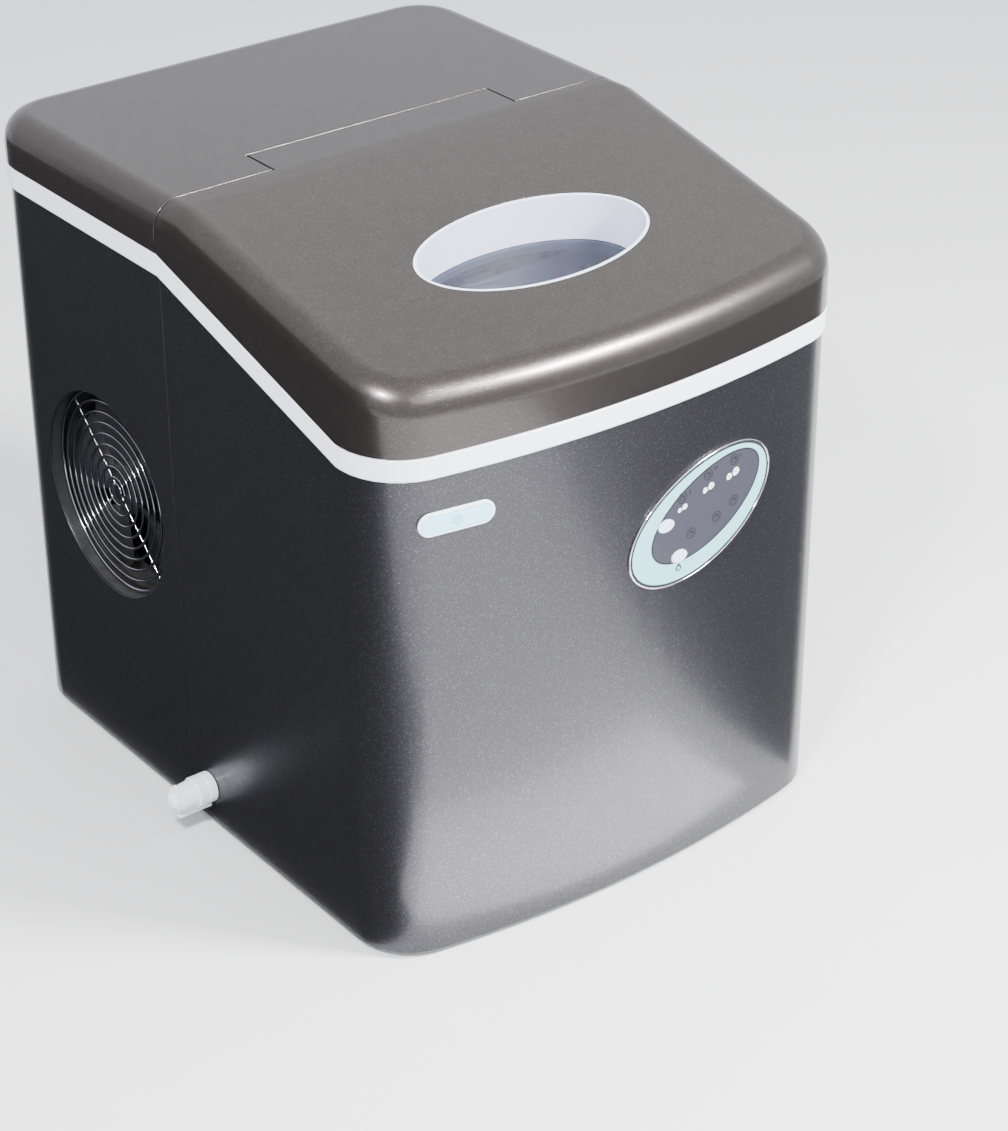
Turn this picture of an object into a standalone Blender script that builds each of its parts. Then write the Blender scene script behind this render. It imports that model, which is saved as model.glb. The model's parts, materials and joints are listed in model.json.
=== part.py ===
"""Countertop ice maker with a hinged lid, an oval window and a left-hand fan outlet.

Metres, +Z up. The front faces -Y and +X is to the right of somebody facing it. The origin is
on the floor under the middle of the bounding box, so the body stands a little to the right of
it, because the drain tap reaches out to the left. Everything hangs from one empty at the
middle of the body, and every moving body has an empty of its own on its joint axis.
"""
import math

import bmesh
import bpy
from mathutils import Euler, Matrix, Vector

# Body
WIDTH = 0.360
DEPTH = 0.4516
HEIGHT = 0.4318            # lower edge of the panels to the flat top
FOOT_HEIGHT = 0.005
FOOT_RADIUS = 0.014
FOOT_INSET = 0.045         # foot centre from the side and from the back or front
BOW_RADIUS = 0.795         # front face, seen from above
FRONT_CORNER = 0.042
REAR_CORNER = 0.038
FIT = 0.0003               # gap between pieces that touch
REAR_LENGTH = 0.2078       # back of the body to the seam
SEAM_GAP = 0.0012
BOW_STEPS = 14
CORNER_STEPS = 7
BEND_STEPS = 3
FAN_STEPS = 60
WINDOW_STEPS = 72

# Skin: distances from the nominal outline, outwards positive
PROUD = 0.001              # trim band, lid and rear cover
PANEL_OUT = -0.001         # outer face of the side panels
PANEL_THICK = 0.001
SHELL = 0.0025             # wall of the lid and of the rear cover
BAND_WALL = 0.010
BAND_HEIGHT = 0.0147
BAND_REAR_DROP = 0.0475    # flat top to the band's lower edge, at the back
BAND_FRONT_DROP = 0.1009   # the same at the front
BAND_LEVEL = 0.0588        # level stretch of the band behind the front
CREASE_AHEAD = 0.0213      # seam to the line where the lid starts to fall
ROOF_SLOPE = math.radians(12.0)
EDGE_ROUND = 0.018
ROUND_STEPS = 5

# Lid
TAB_HALF = 0.093
TAB_LENGTH = 0.0294        # behind the seam
TAB_GAP = 0.0012
HINGE_BACK = 0.015         # seam to the hinge axis
HINGE_DEPTH = 0.005        # flat top to the hinge axis
HINGE_SWEEP = 0.0173       # depth of the well that the tab turns in
LUG_WIDTH = 0.009
LUG_REACH = 0.006          # lug below the hinge axis
LUG_HALF = 0.005
PIN_RADIUS = 0.0025
WINDOW_LONG = 0.085
WINDOW_SHORT = 0.0416
WINDOW_TO_FRONT = 0.108    # window centre to the front edge, down the slope
TUNNEL_WALL = 0.002
TUNNEL_DEPTH = 0.0325
PANE_THICK = 0.0025
LEDGE = 0.004
LINER_RISE = 0.0015        # liner's underside above the band
LINER_THICK = 0.002
GASKET_THICK = 0.0028
GASKET_WIDTH = 0.006

# Cold compartment
TUB_SIDE = 0.030           # nominal side to the compartment
TUB_FRONT = 0.038
TUB_BACK = 0.016           # seam to the back of the compartment
TUB_BOTTOM = 0.022
TUB_WALL = 0.0025
TUB_CORNER = 0.022
DECK_DROP = 0.002          # deck below the band's upper edge
DECK_THICK = 0.0025
FOAM = 0.012
FOAM_UNDER = 0.008
FOAM_TOP = 0.320
BULKHEAD_BACK = 0.0025     # seam to the bulkhead
BULKHEAD_THICK = 0.001
BULKHEAD_HALF = 0.170

# Basket
BASKET_SIDE = 0.025        # compartment wall to the basket
BASKET_FRONT = 0.008
BASKET_LENGTH = 0.105
BASKET_Z = 0.110
BASKET_HEIGHT = 0.120
BASKET_WALL = 0.002
BASKET_CORNER = 0.016
BASKET_RIM = 0.004
REST_HEIGHT = 0.010
REST_IN = 0.112             # compartment's middle to the basket's rest
SENSOR_RISE = 0.015

# Ice making
TRAY_BACK = 0.032          # tray axis to the back of the compartment
TRAY_Z = 0.335
TRAY_RADIUS = 0.028
TRAY_WALL = 0.0018
TRAY_SIDE = 0.047          # tray end to the compartment wall
TRAY_PIN = 0.003
TRAY_BOSS = 0.006
CHEEK = 0.002
CHEEK_GAP = 0.001
BRACKET_TOP = 0.035
BRACKET_HALF = 0.030
BRACKET_DROP = 0.020
CHEEK_LEG = 0.012
CHEEK_ARM = 0.0055
FINGERS = 4
FINGER_PITCH = 0.036
FINGER_RADIUS = 0.0045
FINGER_CLEAR = 0.0027      # finger's tip to the tray
COIL_CLEAR = 0.0152        # tray's inside to the coil's rows
COIL_Z = 0.012
COIL_RADIUS = 0.004
PIPE_Z = 0.042             # pipes through the back wall, above the tray axis
PIPE_BEND = 0.008
COIL_INSET = 0.018         # tray end to the end of the coil
PIPE_INSETS = (0.029, 0.011)
FEED_INSET = 0.058
PIPE_HOLE = 0.0055
PIPE_SHIFT = 0.003
SHOVEL_AHEAD = 0.036
SHOVEL_Z = 0.028
SHOVEL_LENGTH = 0.040
SHOVEL_THICK = 0.002
SHOVEL_TEETH = 9
SHOVEL_ROD = 0.002
SHOVEL_SIDE = 0.003
SHOVEL_BAR = 0.010
MOTOR_SIZE = (0.033, 0.032, 0.044)

# Side fan, from the seam and from the floor
FAN_FROM_SEAM = 0.016      # seam to the near edge of the opening
FAN_Z = 0.202
FAN_OPENING = 0.071
SHROUD_WALL = 0.002
SHROUD_LENGTH = 0.033
SHROUD_LAP = 0.009         # flange past the opening
SHROUD_ARM = (0.007, 0.004)
GUARD_RECESS = 0.0065      # panel's inner face to the guard
GUARD_THICK = 0.002
GUARD_WIRE = 0.0018
GUARD_RINGS = 8
GUARD_PITCH = 0.0075
GUARD_FIRST = 0.0097
GUARD_HUB = 0.006
GUARD_RIM = 0.0025
FAN_TIP_GAP = 0.009        # opening to the blades
FAN_HUB = 0.018
FAN_HUB_LENGTH = 0.016
FAN_BORE_DEPTH = 0.0096
FAN_HUB_EDGE = 0.003
FAN_SHAFT_IN = 0.0064       # shaft inside the hub
FAN_ROOT_IN = 0.002         # blade inside the hub
FAN_SWEEP = math.radians(18.0)
FAN_BLADES = 5
FAN_PITCH = math.radians(28.0)
FAN_ROOT = 0.007
FAN_LEAF = 0.0016
FAN_SHAFT = 0.0025
FAN_MOTOR = (0.022, 0.028)
MOTOR_STEP = 0.0045        # back of the shroud to the face of the motor

# Drain tap on the left side
DRAIN_AHEAD = 0.0224       # seam to the tap
DRAIN_Z = 0.031
DRAIN_BORE = 0.004
DRAIN_SHANK = 0.0075
DRAIN_COLLAR = 0.0105
DRAIN_COLLAR_LENGTH = 0.007
DRAIN_CAP_LENGTH = 0.025
LEVER_HALF = 0.003
LEVER_THICK = 0.0022
LEVER_DROP = 0.0032
LEVER_TIP = 0.006
LEVER_GAP = 0.0015

# Control panel, middle of the outer ellipse
CONTROL_X = 0.0499
CONTROL_Z = 0.2522
CONTROL_LONG = 0.0621
CONTROL_SHORT = 0.0373
CONTROL_TILT = math.radians(20.5)
BEZEL_WIDTH = 0.002
CONTROL_HOLE = (0.050, 0.028)
BUTTON_LONG = 0.0062
BUTTON_SHORT = 0.0041
SELECT_AT = (0.0192, 0.2551)
POWER_AT = (0.0307, 0.2301)
BUTTON_GAP = 0.0004
BADGE_AT = (-0.1305, 0.3065)
BADGE_SIZE = (0.049, 0.015)
BEZEL_OUT = 0.0006
OVERLAY_OUT = 0.0
BUTTON_OUT = 0.0008
BUTTON_TRAVEL = 0.0012
BOARD_BACK = 0.0128        # front of the bow to the circuit board
BOARD_SIZE = (0.090, 0.050)
BOARD_OFF = 0.002

# Machine bay
PAN_WALL = 0.0015
PAN_LIP = 0.014
PAN_FLOOR = 0.002
COMPRESSOR_IN = 0.093      # right-hand panel to the compressor's middle
COMPRESSOR_BACK = 0.107    # seam to the compressor's middle
COMPRESSOR_RADIUS = 0.052
COMPRESSOR_HEIGHT = 0.150
PUMP_BACK = 0.044          # seam to the pump
PUMP_RADIUS = 0.020
PUMP_HEIGHT = 0.044
PUMP_SPOUT = (0.004, 0.006)
PUMP_EDGE = 0.003
CONDENSER_IN = 0.070       # side panel to the condenser
CONDENSER_THICK = 0.022
CONDENSER_SHORT = 0.001    # edge inside the fan opening
INLET_AT = (0.120, 0.050)
VENT_ROWS = 8
VENT_SIZE = (0.070, 0.005)
VENT_PITCH = 0.011
SCREW_RADIUS = 0.004
SCREW_INSET = 0.030
VENT_X = -0.050
VENT_Z = 0.250
VENT_GAP = 0.012
INLET_BODY = (0.030, 0.022)
INLET_FLANGE = 0.0015
COMPRESSOR_FOOT = 0.0125
TUBE_RADIUS = 0.003
TUBE_APART = 0.020
TUBE_CLEAR = 0.0006
SUCTION_LANE = 0.024
SUCTION_DROP = 0.037
DISCHARGE_Z = 0.300
CAPILLARY_RADIUS = 0.0015
DRIER_BACK = 0.016
DRIER_TOP = 0.290
VALVE_X = 0.020
HOSE_RADIUS = 0.004
INTAKE_Z = 0.032
HOSE_BEND = 0.006

# Places worked out from the sizes above
BASE = FOOT_HEIGHT
TOP = BASE + HEIGHT
FRONT_Y = -DEPTH / 2
REAR_Y = DEPTH / 2
SEAM_Y = REAR_Y - REAR_LENGTH
CREASE_Y = SEAM_Y - CREASE_AHEAD
BAND_REAR = TOP - BAND_REAR_DROP
BAND_FRONT = TOP - BAND_FRONT_DROP
BAND_BREAK = FRONT_Y + BAND_LEVEL
HINGE_Y = SEAM_Y + HINGE_BACK
HINGE_Z = TOP - HINGE_DEPTH
TUB_HALF = WIDTH / 2 - TUB_SIDE
TUB_FRONT_Y = FRONT_Y + TUB_FRONT
TUB_BACK_Y = SEAM_Y - TUB_BACK
BULKHEAD_Y = SEAM_Y + BULKHEAD_BACK
PANEL_IN = PANEL_OUT - PANEL_THICK
TRAY_Y = TUB_BACK_Y - TRAY_BACK
TRAY_HALF = TUB_HALF - TRAY_SIDE
SHROUD_FLANGE = FAN_OPENING + SHROUD_LAP
FAN_RADIUS = FAN_OPENING - FAN_TIP_GAP
CONDENSER_HALF = FAN_OPENING - CONDENSER_SHORT
TRAY_INSIDE = TRAY_RADIUS - TRAY_WALL
COIL_HALF = TRAY_INSIDE - COIL_CLEAR
FINGER_BELOW = TRAY_INSIDE - FINGER_CLEAR - FINGER_RADIUS
COIL_END = TRAY_HALF - COIL_INSET
PIPE_X = (-(TRAY_HALF - PIPE_INSETS[0]), -(TRAY_HALF - PIPE_INSETS[1]))
FEED_X = -(TRAY_HALF - FEED_INSET)
CHEEK_X = TRAY_HALF + CHEEK_GAP
FAN_Y = SEAM_Y + FAN_FROM_SEAM + FAN_OPENING
SIDE_X = WIDTH / 2 + PANEL_OUT
SIDE_IN = WIDTH / 2 + PANEL_IN
BASKET_HALF = TUB_HALF - BASKET_SIDE
BASKET_Y = TUB_FRONT_Y + BASKET_FRONT
CONDENSER_X = (-SIDE_IN + CONDENSER_IN, -SIDE_IN + CONDENSER_IN + CONDENSER_THICK)
PUMP_AT = (FEED_X, SEAM_Y + PUMP_BACK)
COMPRESSOR_AT = (SIDE_IN - COMPRESSOR_IN, SEAM_Y + COMPRESSOR_BACK)
BAY_FLOOR = BASE + PAN_FLOOR + FIT
FAN_BACK_X = -SIDE_IN + SHROUD_LENGTH - MOTOR_STEP
DRAIN_Y = SEAM_Y - DRAIN_AHEAD
REACH = WIDTH / 2 + PROUD
TAP_REACH = SIDE_X + 2 * FIT + DRAIN_COLLAR_LENGTH + DRAIN_CAP_LENGTH
BODY_X = (TAP_REACH - REACH) / 2
FAR = 1.0                  # past every edge of the body, for cutters

TURN = {"X": (math.pi / 2, 0.0, math.pi / 2), "-X": (math.pi / 2, 0.0, -math.pi / 2),
        "Y": (math.pi / 2, 0.0, 0.0), "-Y": (-math.pi / 2, 0.0, 0.0), "Z": (0.0, 0.0, 0.0)}

# Colour, roughness and metallic of each finish
FINISHES = {
    "silver_paint": ((0.21, 0.20, 0.19), 0.34, 0.75),
    "graphite_paint": ((0.11, 0.11, 0.115), 0.33, 0.7),
    "white_plastic": ((0.78, 0.80, 0.86), 0.35, 0.0),
    "clear_plastic": ((0.75, 0.80, 0.85), 0.08, 0.0),
    "black_plastic": ((0.02, 0.02, 0.022), 0.5, 0.0),
    "mint_plastic": ((0.50, 0.70, 0.70), 0.3, 0.0),
    "chrome": ((0.62, 0.62, 0.63), 0.12, 1.0),
    "badge_blue": ((0.55, 0.82, 0.90), 0.25, 0.0),
    "circuit_green": ((0.02, 0.16, 0.07), 0.5, 0.0),
    "galvanised": ((0.45, 0.46, 0.47), 0.45, 0.9),
    "foam": ((0.72, 0.66, 0.48), 0.9, 0.0),
    "rubber": ((0.03, 0.03, 0.03), 0.8, 0.0),
    "copper": ((0.72, 0.36, 0.20), 0.3, 1.0),
    "black_paint": ((0.015, 0.015, 0.016), 0.35, 0.0),
    "wire_chrome": ((0.55, 0.56, 0.58), 0.2, 1.0),
    "silicone": ((0.70, 0.72, 0.74), 0.45, 0.0),
}


# --------------------------------------------------------------------------
# Tools
# --------------------------------------------------------------------------

def clear_scene():
    for obj in list(bpy.data.objects):
        bpy.data.objects.remove(obj)


def make_collection(name):
    collection = bpy.data.collections.new(name)
    bpy.context.scene.collection.children.link(collection)
    return collection


def make_empty(name, location, parent=None):
    """An empty at a place given in the body's frame."""
    empty = bpy.data.objects.new(name, None)
    empty.empty_display_size = 0.02
    empty.location = location
    empty.parent = parent
    PARTS.objects.link(empty)
    return empty


def arc(centre, radius, start, end, steps):
    """Points along an arc, both ends included. Angles in radians."""
    points = []
    for i in range(steps + 1):
        angle = start + (end - start) * i / steps
        points.append((centre[0] + radius * math.cos(angle), centre[1] + radius * math.sin(angle)))
    return points


def circle(radius, steps=24, centre=(0.0, 0.0)):
    return arc(centre, radius, 0.0, math.tau, steps)[:-1]


def ellipse(long, short, tilt=0.0, steps=32, centre=(0.0, 0.0)):
    points = []
    for i in range(steps):
        u = long * math.cos(math.tau * i / steps)
        v = short * math.sin(math.tau * i / steps)
        points.append((centre[0] + u * math.cos(tilt) - v * math.sin(tilt),
                       centre[1] + u * math.sin(tilt) + v * math.cos(tilt)))
    return points


def rectangle(low, high):
    return [(low[0], low[1]), (high[0], low[1]), (high[0], high[1]), (low[0], high[1])]


def rounded(low, high, radius, steps=4):
    """A rectangle with round corners, anticlockwise."""
    points = []
    for k, (x, y) in enumerate(((high[0] - radius, low[1] + radius), (high[0] - radius, high[1] - radius),
                                (low[0] + radius, high[1] - radius), (low[0] + radius, low[1] + radius))):
        start = (k - 1) * math.pi / 2
        points += arc((x, y), radius, start, start + math.pi / 2, steps)
    return points


def outline(offset):
    """Plan outline of the body moved out by offset: bowed front, straight sides and back."""
    bow_y = FRONT_Y + BOW_RADIUS
    corner_x = WIDTH / 2 - FRONT_CORNER
    reach = BOW_RADIUS - FRONT_CORNER
    corner_y = bow_y - math.sqrt(reach ** 2 - corner_x ** 2)
    lean = math.asin(corner_x / reach)
    rear_x = WIDTH / 2 - REAR_CORNER
    rear_y = REAR_Y - REAR_CORNER
    down = -math.pi / 2
    points = arc((0.0, bow_y), BOW_RADIUS + offset, down - lean, down + lean, BOW_STEPS)[1:-1]
    points += arc((corner_x, corner_y), FRONT_CORNER + offset, down + lean, 0.0, CORNER_STEPS)
    points += arc((rear_x, rear_y), REAR_CORNER + offset, 0.0, math.pi / 2, CORNER_STEPS)
    points += arc((-rear_x, rear_y), REAR_CORNER + offset, math.pi / 2, math.pi, CORNER_STEPS)
    points += arc((-corner_x, corner_y), FRONT_CORNER + offset, math.pi, 3 * math.pi / 2 - lean,
                  CORNER_STEPS)
    return points


def front_y(x, offset):
    """Y of the bowed front at x, on the outline moved out by offset."""
    return FRONT_Y + BOW_RADIUS - math.sqrt((BOW_RADIUS + offset) ** 2 - x ** 2)


def band_line(lift):
    """The trim band's lower edge in side view, raised by lift, from front to back."""
    return [(-FAR, BAND_FRONT + lift), (BAND_BREAK, BAND_FRONT + lift),
            (SEAM_Y, BAND_REAR + lift), (FAR, BAND_REAR + lift)]


def band_height(y):
    """Height of the trim band's upper edge at y."""
    share = min(max((y - BAND_BREAK) / (SEAM_Y - BAND_BREAK), 0.0), 1.0)
    return BAND_FRONT + BAND_HEIGHT + (BAND_REAR - BAND_FRONT) * share


def strip(low, high):
    """Side view of the layer between two raised copies of the band line."""
    return band_line(low) + band_line(high)[::-1]


def above(lift):
    return band_line(lift) + [(FAR, FAR), (-FAR, FAR)]


def below(lift):
    return band_line(lift)[::-1] + [(-FAR, -FAR), (FAR, -FAR)]


def paint(obj, finish):
    """Give an object a material of its own."""
    colour, roughness, metallic = FINISHES[finish]
    material = bpy.data.materials.new(obj.name + "_" + finish)
    material.use_nodes = True
    shader = material.node_tree.nodes["Principled BSDF"]
    shader.inputs["Base Color"].default_value = (*colour, 1.0)
    shader.inputs["Roughness"].default_value = roughness
    shader.inputs["Metallic"].default_value = metallic
    material.diffuse_color = (*colour, 1.0)
    obj.data.materials.clear()
    obj.data.materials.append(material)


def settle(obj, finish=None, pivot=None):
    """Put an object in its collection, under its empty; without a finish it is a cutter."""
    if finish is None:
        CUTTERS.objects.link(obj)
        obj.hide_render = True
        obj.display_type = "WIRE"
    else:
        PARTS.objects.link(obj)
        paint(obj, finish)
    obj.parent = BODY
    if pivot is not None:
        obj.parent = pivot
        obj.matrix_parent_inverse = Matrix.Translation(-pivot.location)
    return obj


def closed_mesh(name, curve):
    """Turn a filled curve into a mesh with its caps welded on."""
    carrier = bpy.data.objects.new(name, curve)
    bpy.context.scene.collection.objects.link(carrier)
    graph = bpy.context.evaluated_depsgraph_get()
    mesh = bpy.data.meshes.new_from_object(carrier.evaluated_get(graph))
    bpy.data.objects.remove(carrier)
    shape = bmesh.new()
    shape.from_mesh(mesh)
    bmesh.ops.remove_doubles(shape, verts=shape.verts, dist=0.00001)
    bmesh.ops.recalc_face_normals(shape, faces=shape.faces)
    shape.to_mesh(mesh)
    shape.free()
    mesh.materials.clear()
    return mesh


def slab(name, loops, low, high, axis="Z", centre=(0.0, 0.0, 0.0), finish=None, pivot=None):
    """Closed loops filled and extruded from low to high along an axis.

    The loops are (x, y) for Z, (y, z) for X and (x, z) for Y, counted from centre.
    """
    curve = bpy.data.curves.new(name, "CURVE")
    curve.dimensions = "2D"
    curve.fill_mode = "BOTH"
    curve.extrude = (high - low) / 2
    for loop in loops:
        spline = curve.splines.new("POLY")
        spline.points.add(len(loop) - 1)
        for point, (u, v) in zip(spline.points, loop):
            point.co = (u, v, 0.0, 1.0)
        spline.use_cyclic_u = True
    obj = bpy.data.objects.new(name, closed_mesh(name, curve))
    middle = (low + high) / 2
    along = {"X": (middle, 0.0, 0.0), "Y": (0.0, middle, 0.0), "Z": (0.0, 0.0, middle)}[axis]
    obj.location = Vector(centre) + Vector(along)
    obj.rotation_euler = TURN[axis]
    return settle(obj, finish, pivot)


def lid_slab(name, loops, deep, shallow, finish=None, pivot=None):
    """A slab square to the lid's slope, between two depths under its face, about the window."""
    middle = (deep + shallow) / 2
    obj = slab(name, loops, -(deep - shallow) / 2, (deep - shallow) / 2, "Z", finish=finish, pivot=pivot)
    obj.location = window_point(middle)
    obj.rotation_euler = (ROOF_SLOPE, 0.0, 0.0)
    return obj


def block(name, low, high, finish=None, pivot=None, soften=0.0):
    """A box between two corners, its edges softened by a bevel."""
    shape = bmesh.new()
    bmesh.ops.create_cube(shape, size=1.0)
    size = [high[i] - low[i] for i in range(3)]
    bmesh.ops.scale(shape, vec=size, verts=shape.verts)
    mesh = bpy.data.meshes.new(name)
    shape.to_mesh(mesh)
    shape.free()
    obj = bpy.data.objects.new(name, mesh)
    obj.location = [(low[i] + high[i]) / 2 for i in range(3)]
    settle(obj, finish, pivot)
    if soften:
        bevel = obj.modifiers.new("Soft edges", "BEVEL")
        bevel.width = soften
        bevel.segments = 2
        bevel.limit_method = "ANGLE"
    return obj


def turned(name, profile, centre, axis="Z", steps=24, finish=None, pivot=None):
    """A turned piece. The profile is (radius, height) from its top to its bottom."""
    mesh = bpy.data.meshes.new(name)
    corners = [(radius, 0.0, height) for radius, height in profile]
    mesh.from_pydata(corners, [(i, i + 1) for i in range(len(corners) - 1)], [])
    obj = bpy.data.objects.new(name, mesh)
    obj.location = centre
    obj.rotation_euler = TURN[axis]
    settle(obj, finish, pivot)
    screw = obj.modifiers.new("Turn", "SCREW")
    screw.angle = math.tau
    screw.steps = steps
    screw.render_steps = steps
    screw.use_merge_vertices = True
    screw.merge_threshold = 0.00001
    return obj


def pegs(name, places, radius, length, axis="Z", steps=12, finish=None):
    """Equal round pegs in one mesh, each about its own middle, to join to or cut from a piece."""
    shape = bmesh.new()
    turn = Euler(TURN[axis]).to_matrix().to_4x4()
    for place in places:
        bmesh.ops.create_cone(shape, cap_ends=True, segments=steps, radius1=radius, radius2=radius,
                              depth=length, matrix=Matrix.Translation(place) @ turn)
    mesh = bpy.data.meshes.new(name)
    shape.to_mesh(mesh)
    shape.free()
    return settle(bpy.data.objects.new(name, mesh), finish)


def boxes(name, corners):
    """Several boxes in one cutter, each from its low to its high corner."""
    shape = bmesh.new()
    for low, high in corners:
        size = [high[i] - low[i] for i in range(3)]
        middle = [(low[i] + high[i]) / 2 for i in range(3)]
        bmesh.ops.create_cube(shape, size=1.0,
                              matrix=Matrix.Translation(middle) @ Matrix.Diagonal((*size, 1.0)))
    mesh = bpy.data.meshes.new(name)
    shape.to_mesh(mesh)
    shape.free()
    return settle(bpy.data.objects.new(name, mesh))


def tube(name, corners, radius, bend, finish, sides=2, welded=False):
    """A bent tube through some corners, every bend an arc of one radius."""
    points = [Vector(corners[0])]
    for before, corner, after in zip(corners, corners[1:], corners[2:]):
        corner = Vector(corner)
        back = (Vector(before) - corner).normalized()
        ahead = (Vector(after) - corner).normalized()
        half = back.angle(ahead) / 2
        trim = bend / math.tan(half)
        hub = corner + (back + ahead).normalized() * (bend / math.sin(half))
        first = corner + back * trim - hub
        last = corner + ahead * trim - hub
        for i in range(BEND_STEPS + 1):
            points.append(hub + first.slerp(last, i / BEND_STEPS).normalized() * bend)
    points.append(Vector(corners[-1]))
    curve = bpy.data.curves.new(name, "CURVE")
    curve.dimensions = "3D"
    curve.bevel_depth = radius
    curve.bevel_resolution = sides
    curve.use_fill_caps = True
    spline = curve.splines.new("POLY")
    spline.points.add(len(points) - 1)
    for target, point in zip(spline.points, points):
        target.co = (*point, 1.0)
    data = closed_mesh(name, curve) if welded else curve
    return settle(bpy.data.objects.new(name, data), finish)


def shape_by(obj, operation, *tools):
    """Cut, trim or join an object with other solids, in order."""
    for tool in tools:
        step = obj.modifiers.new(tool.name, "BOOLEAN")
        step.operation = operation
        step.solver = "EXACT"
        step.object = tool
    return obj


def cut(obj, *tools):
    return shape_by(obj, "DIFFERENCE", *tools)


def join(obj, *tools):
    return shape_by(obj, "UNION", *tools)


def trim(obj, *tools):
    return shape_by(obj, "INTERSECT", *tools)


def dome(name, inset, finish=None, pivot=None):
    """Body of the lid and rear cover: flat behind the crease, falling in front, round at the edge."""
    foot = BAND_FRONT - BAND_HEIGHT
    shape = bmesh.new()
    corners = [shape.verts.new((x, y, foot)) for x, y in outline(PROUD - inset)]
    shape.faces.new(corners)
    pushed = bmesh.ops.extrude_face_region(shape, geom=list(shape.faces))
    for vert in pushed["geom"]:
        if isinstance(vert, bmesh.types.BMVert):
            vert.co.z = TOP
    parts = list(shape.verts) + list(shape.edges) + list(shape.faces)
    bmesh.ops.bisect_plane(shape, geom=parts, dist=0.000001, plane_co=(0.0, CREASE_Y, 0.0),
                           plane_no=(0.0, 1.0, 0.0))
    for vert in shape.verts:
        if vert.co.z > foot + FIT:
            vert.co.z = roof(vert.co.y) - inset
    bmesh.ops.recalc_face_normals(shape, faces=shape.faces)
    rim = [edge for edge in shape.edges if is_rim(edge)]
    bmesh.ops.bevel(shape, geom=rim, offset=EDGE_ROUND - inset, offset_type="OFFSET", segments=ROUND_STEPS,
                    profile=0.5, affect="EDGES", clamp_overlap=False)
    mesh = bpy.data.meshes.new(name)
    shape.to_mesh(mesh)
    shape.free()
    return settle(bpy.data.objects.new(name, mesh), finish, pivot)


def is_rim(edge):
    """True for an edge between the roof and a side wall."""
    roofs = [face for face in edge.link_faces if face.normal.z > 0.5]
    walls = [face for face in edge.link_faces if abs(face.normal.z) < 0.1]
    return len(roofs) == 1 and len(walls) == 1


def roof(y):
    return TOP - math.tan(ROOF_SLOPE) * max(CREASE_Y - y, 0.0)


def window_point(depth):
    """A point on the window's axis, depth under the lid's face."""
    along = (CREASE_Y - FRONT_Y) / math.cos(ROOF_SLOPE) - WINDOW_TO_FRONT
    y = CREASE_Y - along * math.cos(ROOF_SLOPE) + depth * math.sin(ROOF_SLOPE)
    z = TOP - along * math.sin(ROOF_SLOPE) - depth * math.cos(ROOF_SLOPE)
    return Vector((0.0, y, z))


def behind_seam(gap):
    """Plan of the space behind the seam, cut back for the lid's tab, moved back by gap."""
    y = SEAM_Y + gap
    tab_x = TAB_HALF + max(gap, 0.0) * 2
    tab_y = SEAM_Y + TAB_LENGTH + max(gap, 0.0) * 2
    return [(-FAR, y), (-tab_x, y), (-tab_x, tab_y), (tab_x, tab_y), (tab_x, y), (FAR, y), (FAR, FAR),
            (-FAR, FAR)]


# --------------------------------------------------------------------------
# Casing
# --------------------------------------------------------------------------

def base_pan():
    low = BASE
    high = BASE + PAN_LIP
    pan = slab("base_pan", [outline(PANEL_IN - FIT)], low, high, finish="galvanised")
    hollow = slab("pan_hollow", [outline(PANEL_IN - FIT - PAN_WALL)], low + PAN_FLOOR, high + PAN_FLOOR)
    return cut(pan, hollow)


def feet():
    profile = [(0.0, BASE - FIT), (FOOT_RADIUS, BASE - FIT), (FOOT_RADIUS, 0.0015),
               (FOOT_RADIUS - 0.0015, 0.0),
               (0.0, 0.0)]
    side = WIDTH / 2 - FOOT_INSET
    for name, x, y in (("foot_front_left", -side, FRONT_Y + FOOT_INSET),
                       ("foot_front_right", side, FRONT_Y + FOOT_INSET),
                       ("foot_rear_left", -side, REAR_Y - FOOT_INSET),
                       ("foot_rear_right", side, REAR_Y - FOOT_INSET)):
        turned(name, profile, (x, y, 0.0), steps=20, finish="rubber")


def side_skin(name, keep_low, keep_high, finish):
    """One half of the wrap-round skin, between two y values, from the base to the band."""
    skin = slab(name, [outline(PANEL_OUT), outline(PANEL_IN)], BASE, TOP, finish=finish)
    side_view = slab(name + "_side_view", [below(-FIT)], -FAR, FAR, "X")
    half = block(name + "_half", (-FAR, keep_low, BASE - FAR), (FAR, keep_high, FAR))
    return trim(skin, side_view, half)


def front_panel():
    panel = side_skin("front_panel", -FAR, SEAM_Y - FIT, "graphite_paint")
    window = slab("control_hole", [ellipse(*CONTROL_HOLE, CONTROL_TILT)], FRONT_Y - 0.02,
                  FRONT_Y + 0.02, "Y",
                  (CONTROL_X, 0.0, CONTROL_Z))
    drain = slab("drain_hole", [circle(DRAIN_SHANK + FIT, 20)], -SIDE_X - 0.02, -SIDE_X + 0.02, "X",
                 (0.0, DRAIN_Y, DRAIN_Z))
    return cut(panel, window, drain)


def rear_panel():
    panel = side_skin("rear_panel", SEAM_Y + FIT, FAR, "graphite_paint")
    fan = slab("fan_hole", [circle(FAN_OPENING, FAN_STEPS)], -SIDE_X - 0.02, -SIDE_X + 0.02, "X",
               (0.0, FAN_Y, FAN_Z))
    width, height = VENT_SIZE
    slots = []
    for column in (-1, 1):
        for row in range(VENT_ROWS):
            x = VENT_X + column * (width / 2 + VENT_GAP / 2)
            z = VENT_Z + row * VENT_PITCH
            slots.append(((x - width / 2, REAR_Y - 0.02, z), (x + width / 2, REAR_Y + 0.02, z + height)))
    wide, high = INLET_BODY
    x, z = INLET_AT
    slots.append(((x - wide / 2 - FIT, REAR_Y - 0.02, z - high / 2 - FIT),
                  (x + wide / 2 + FIT, REAR_Y + 0.02, z + high / 2 + FIT)))
    return cut(panel, fan, boxes("rear_openings", slots))


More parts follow.
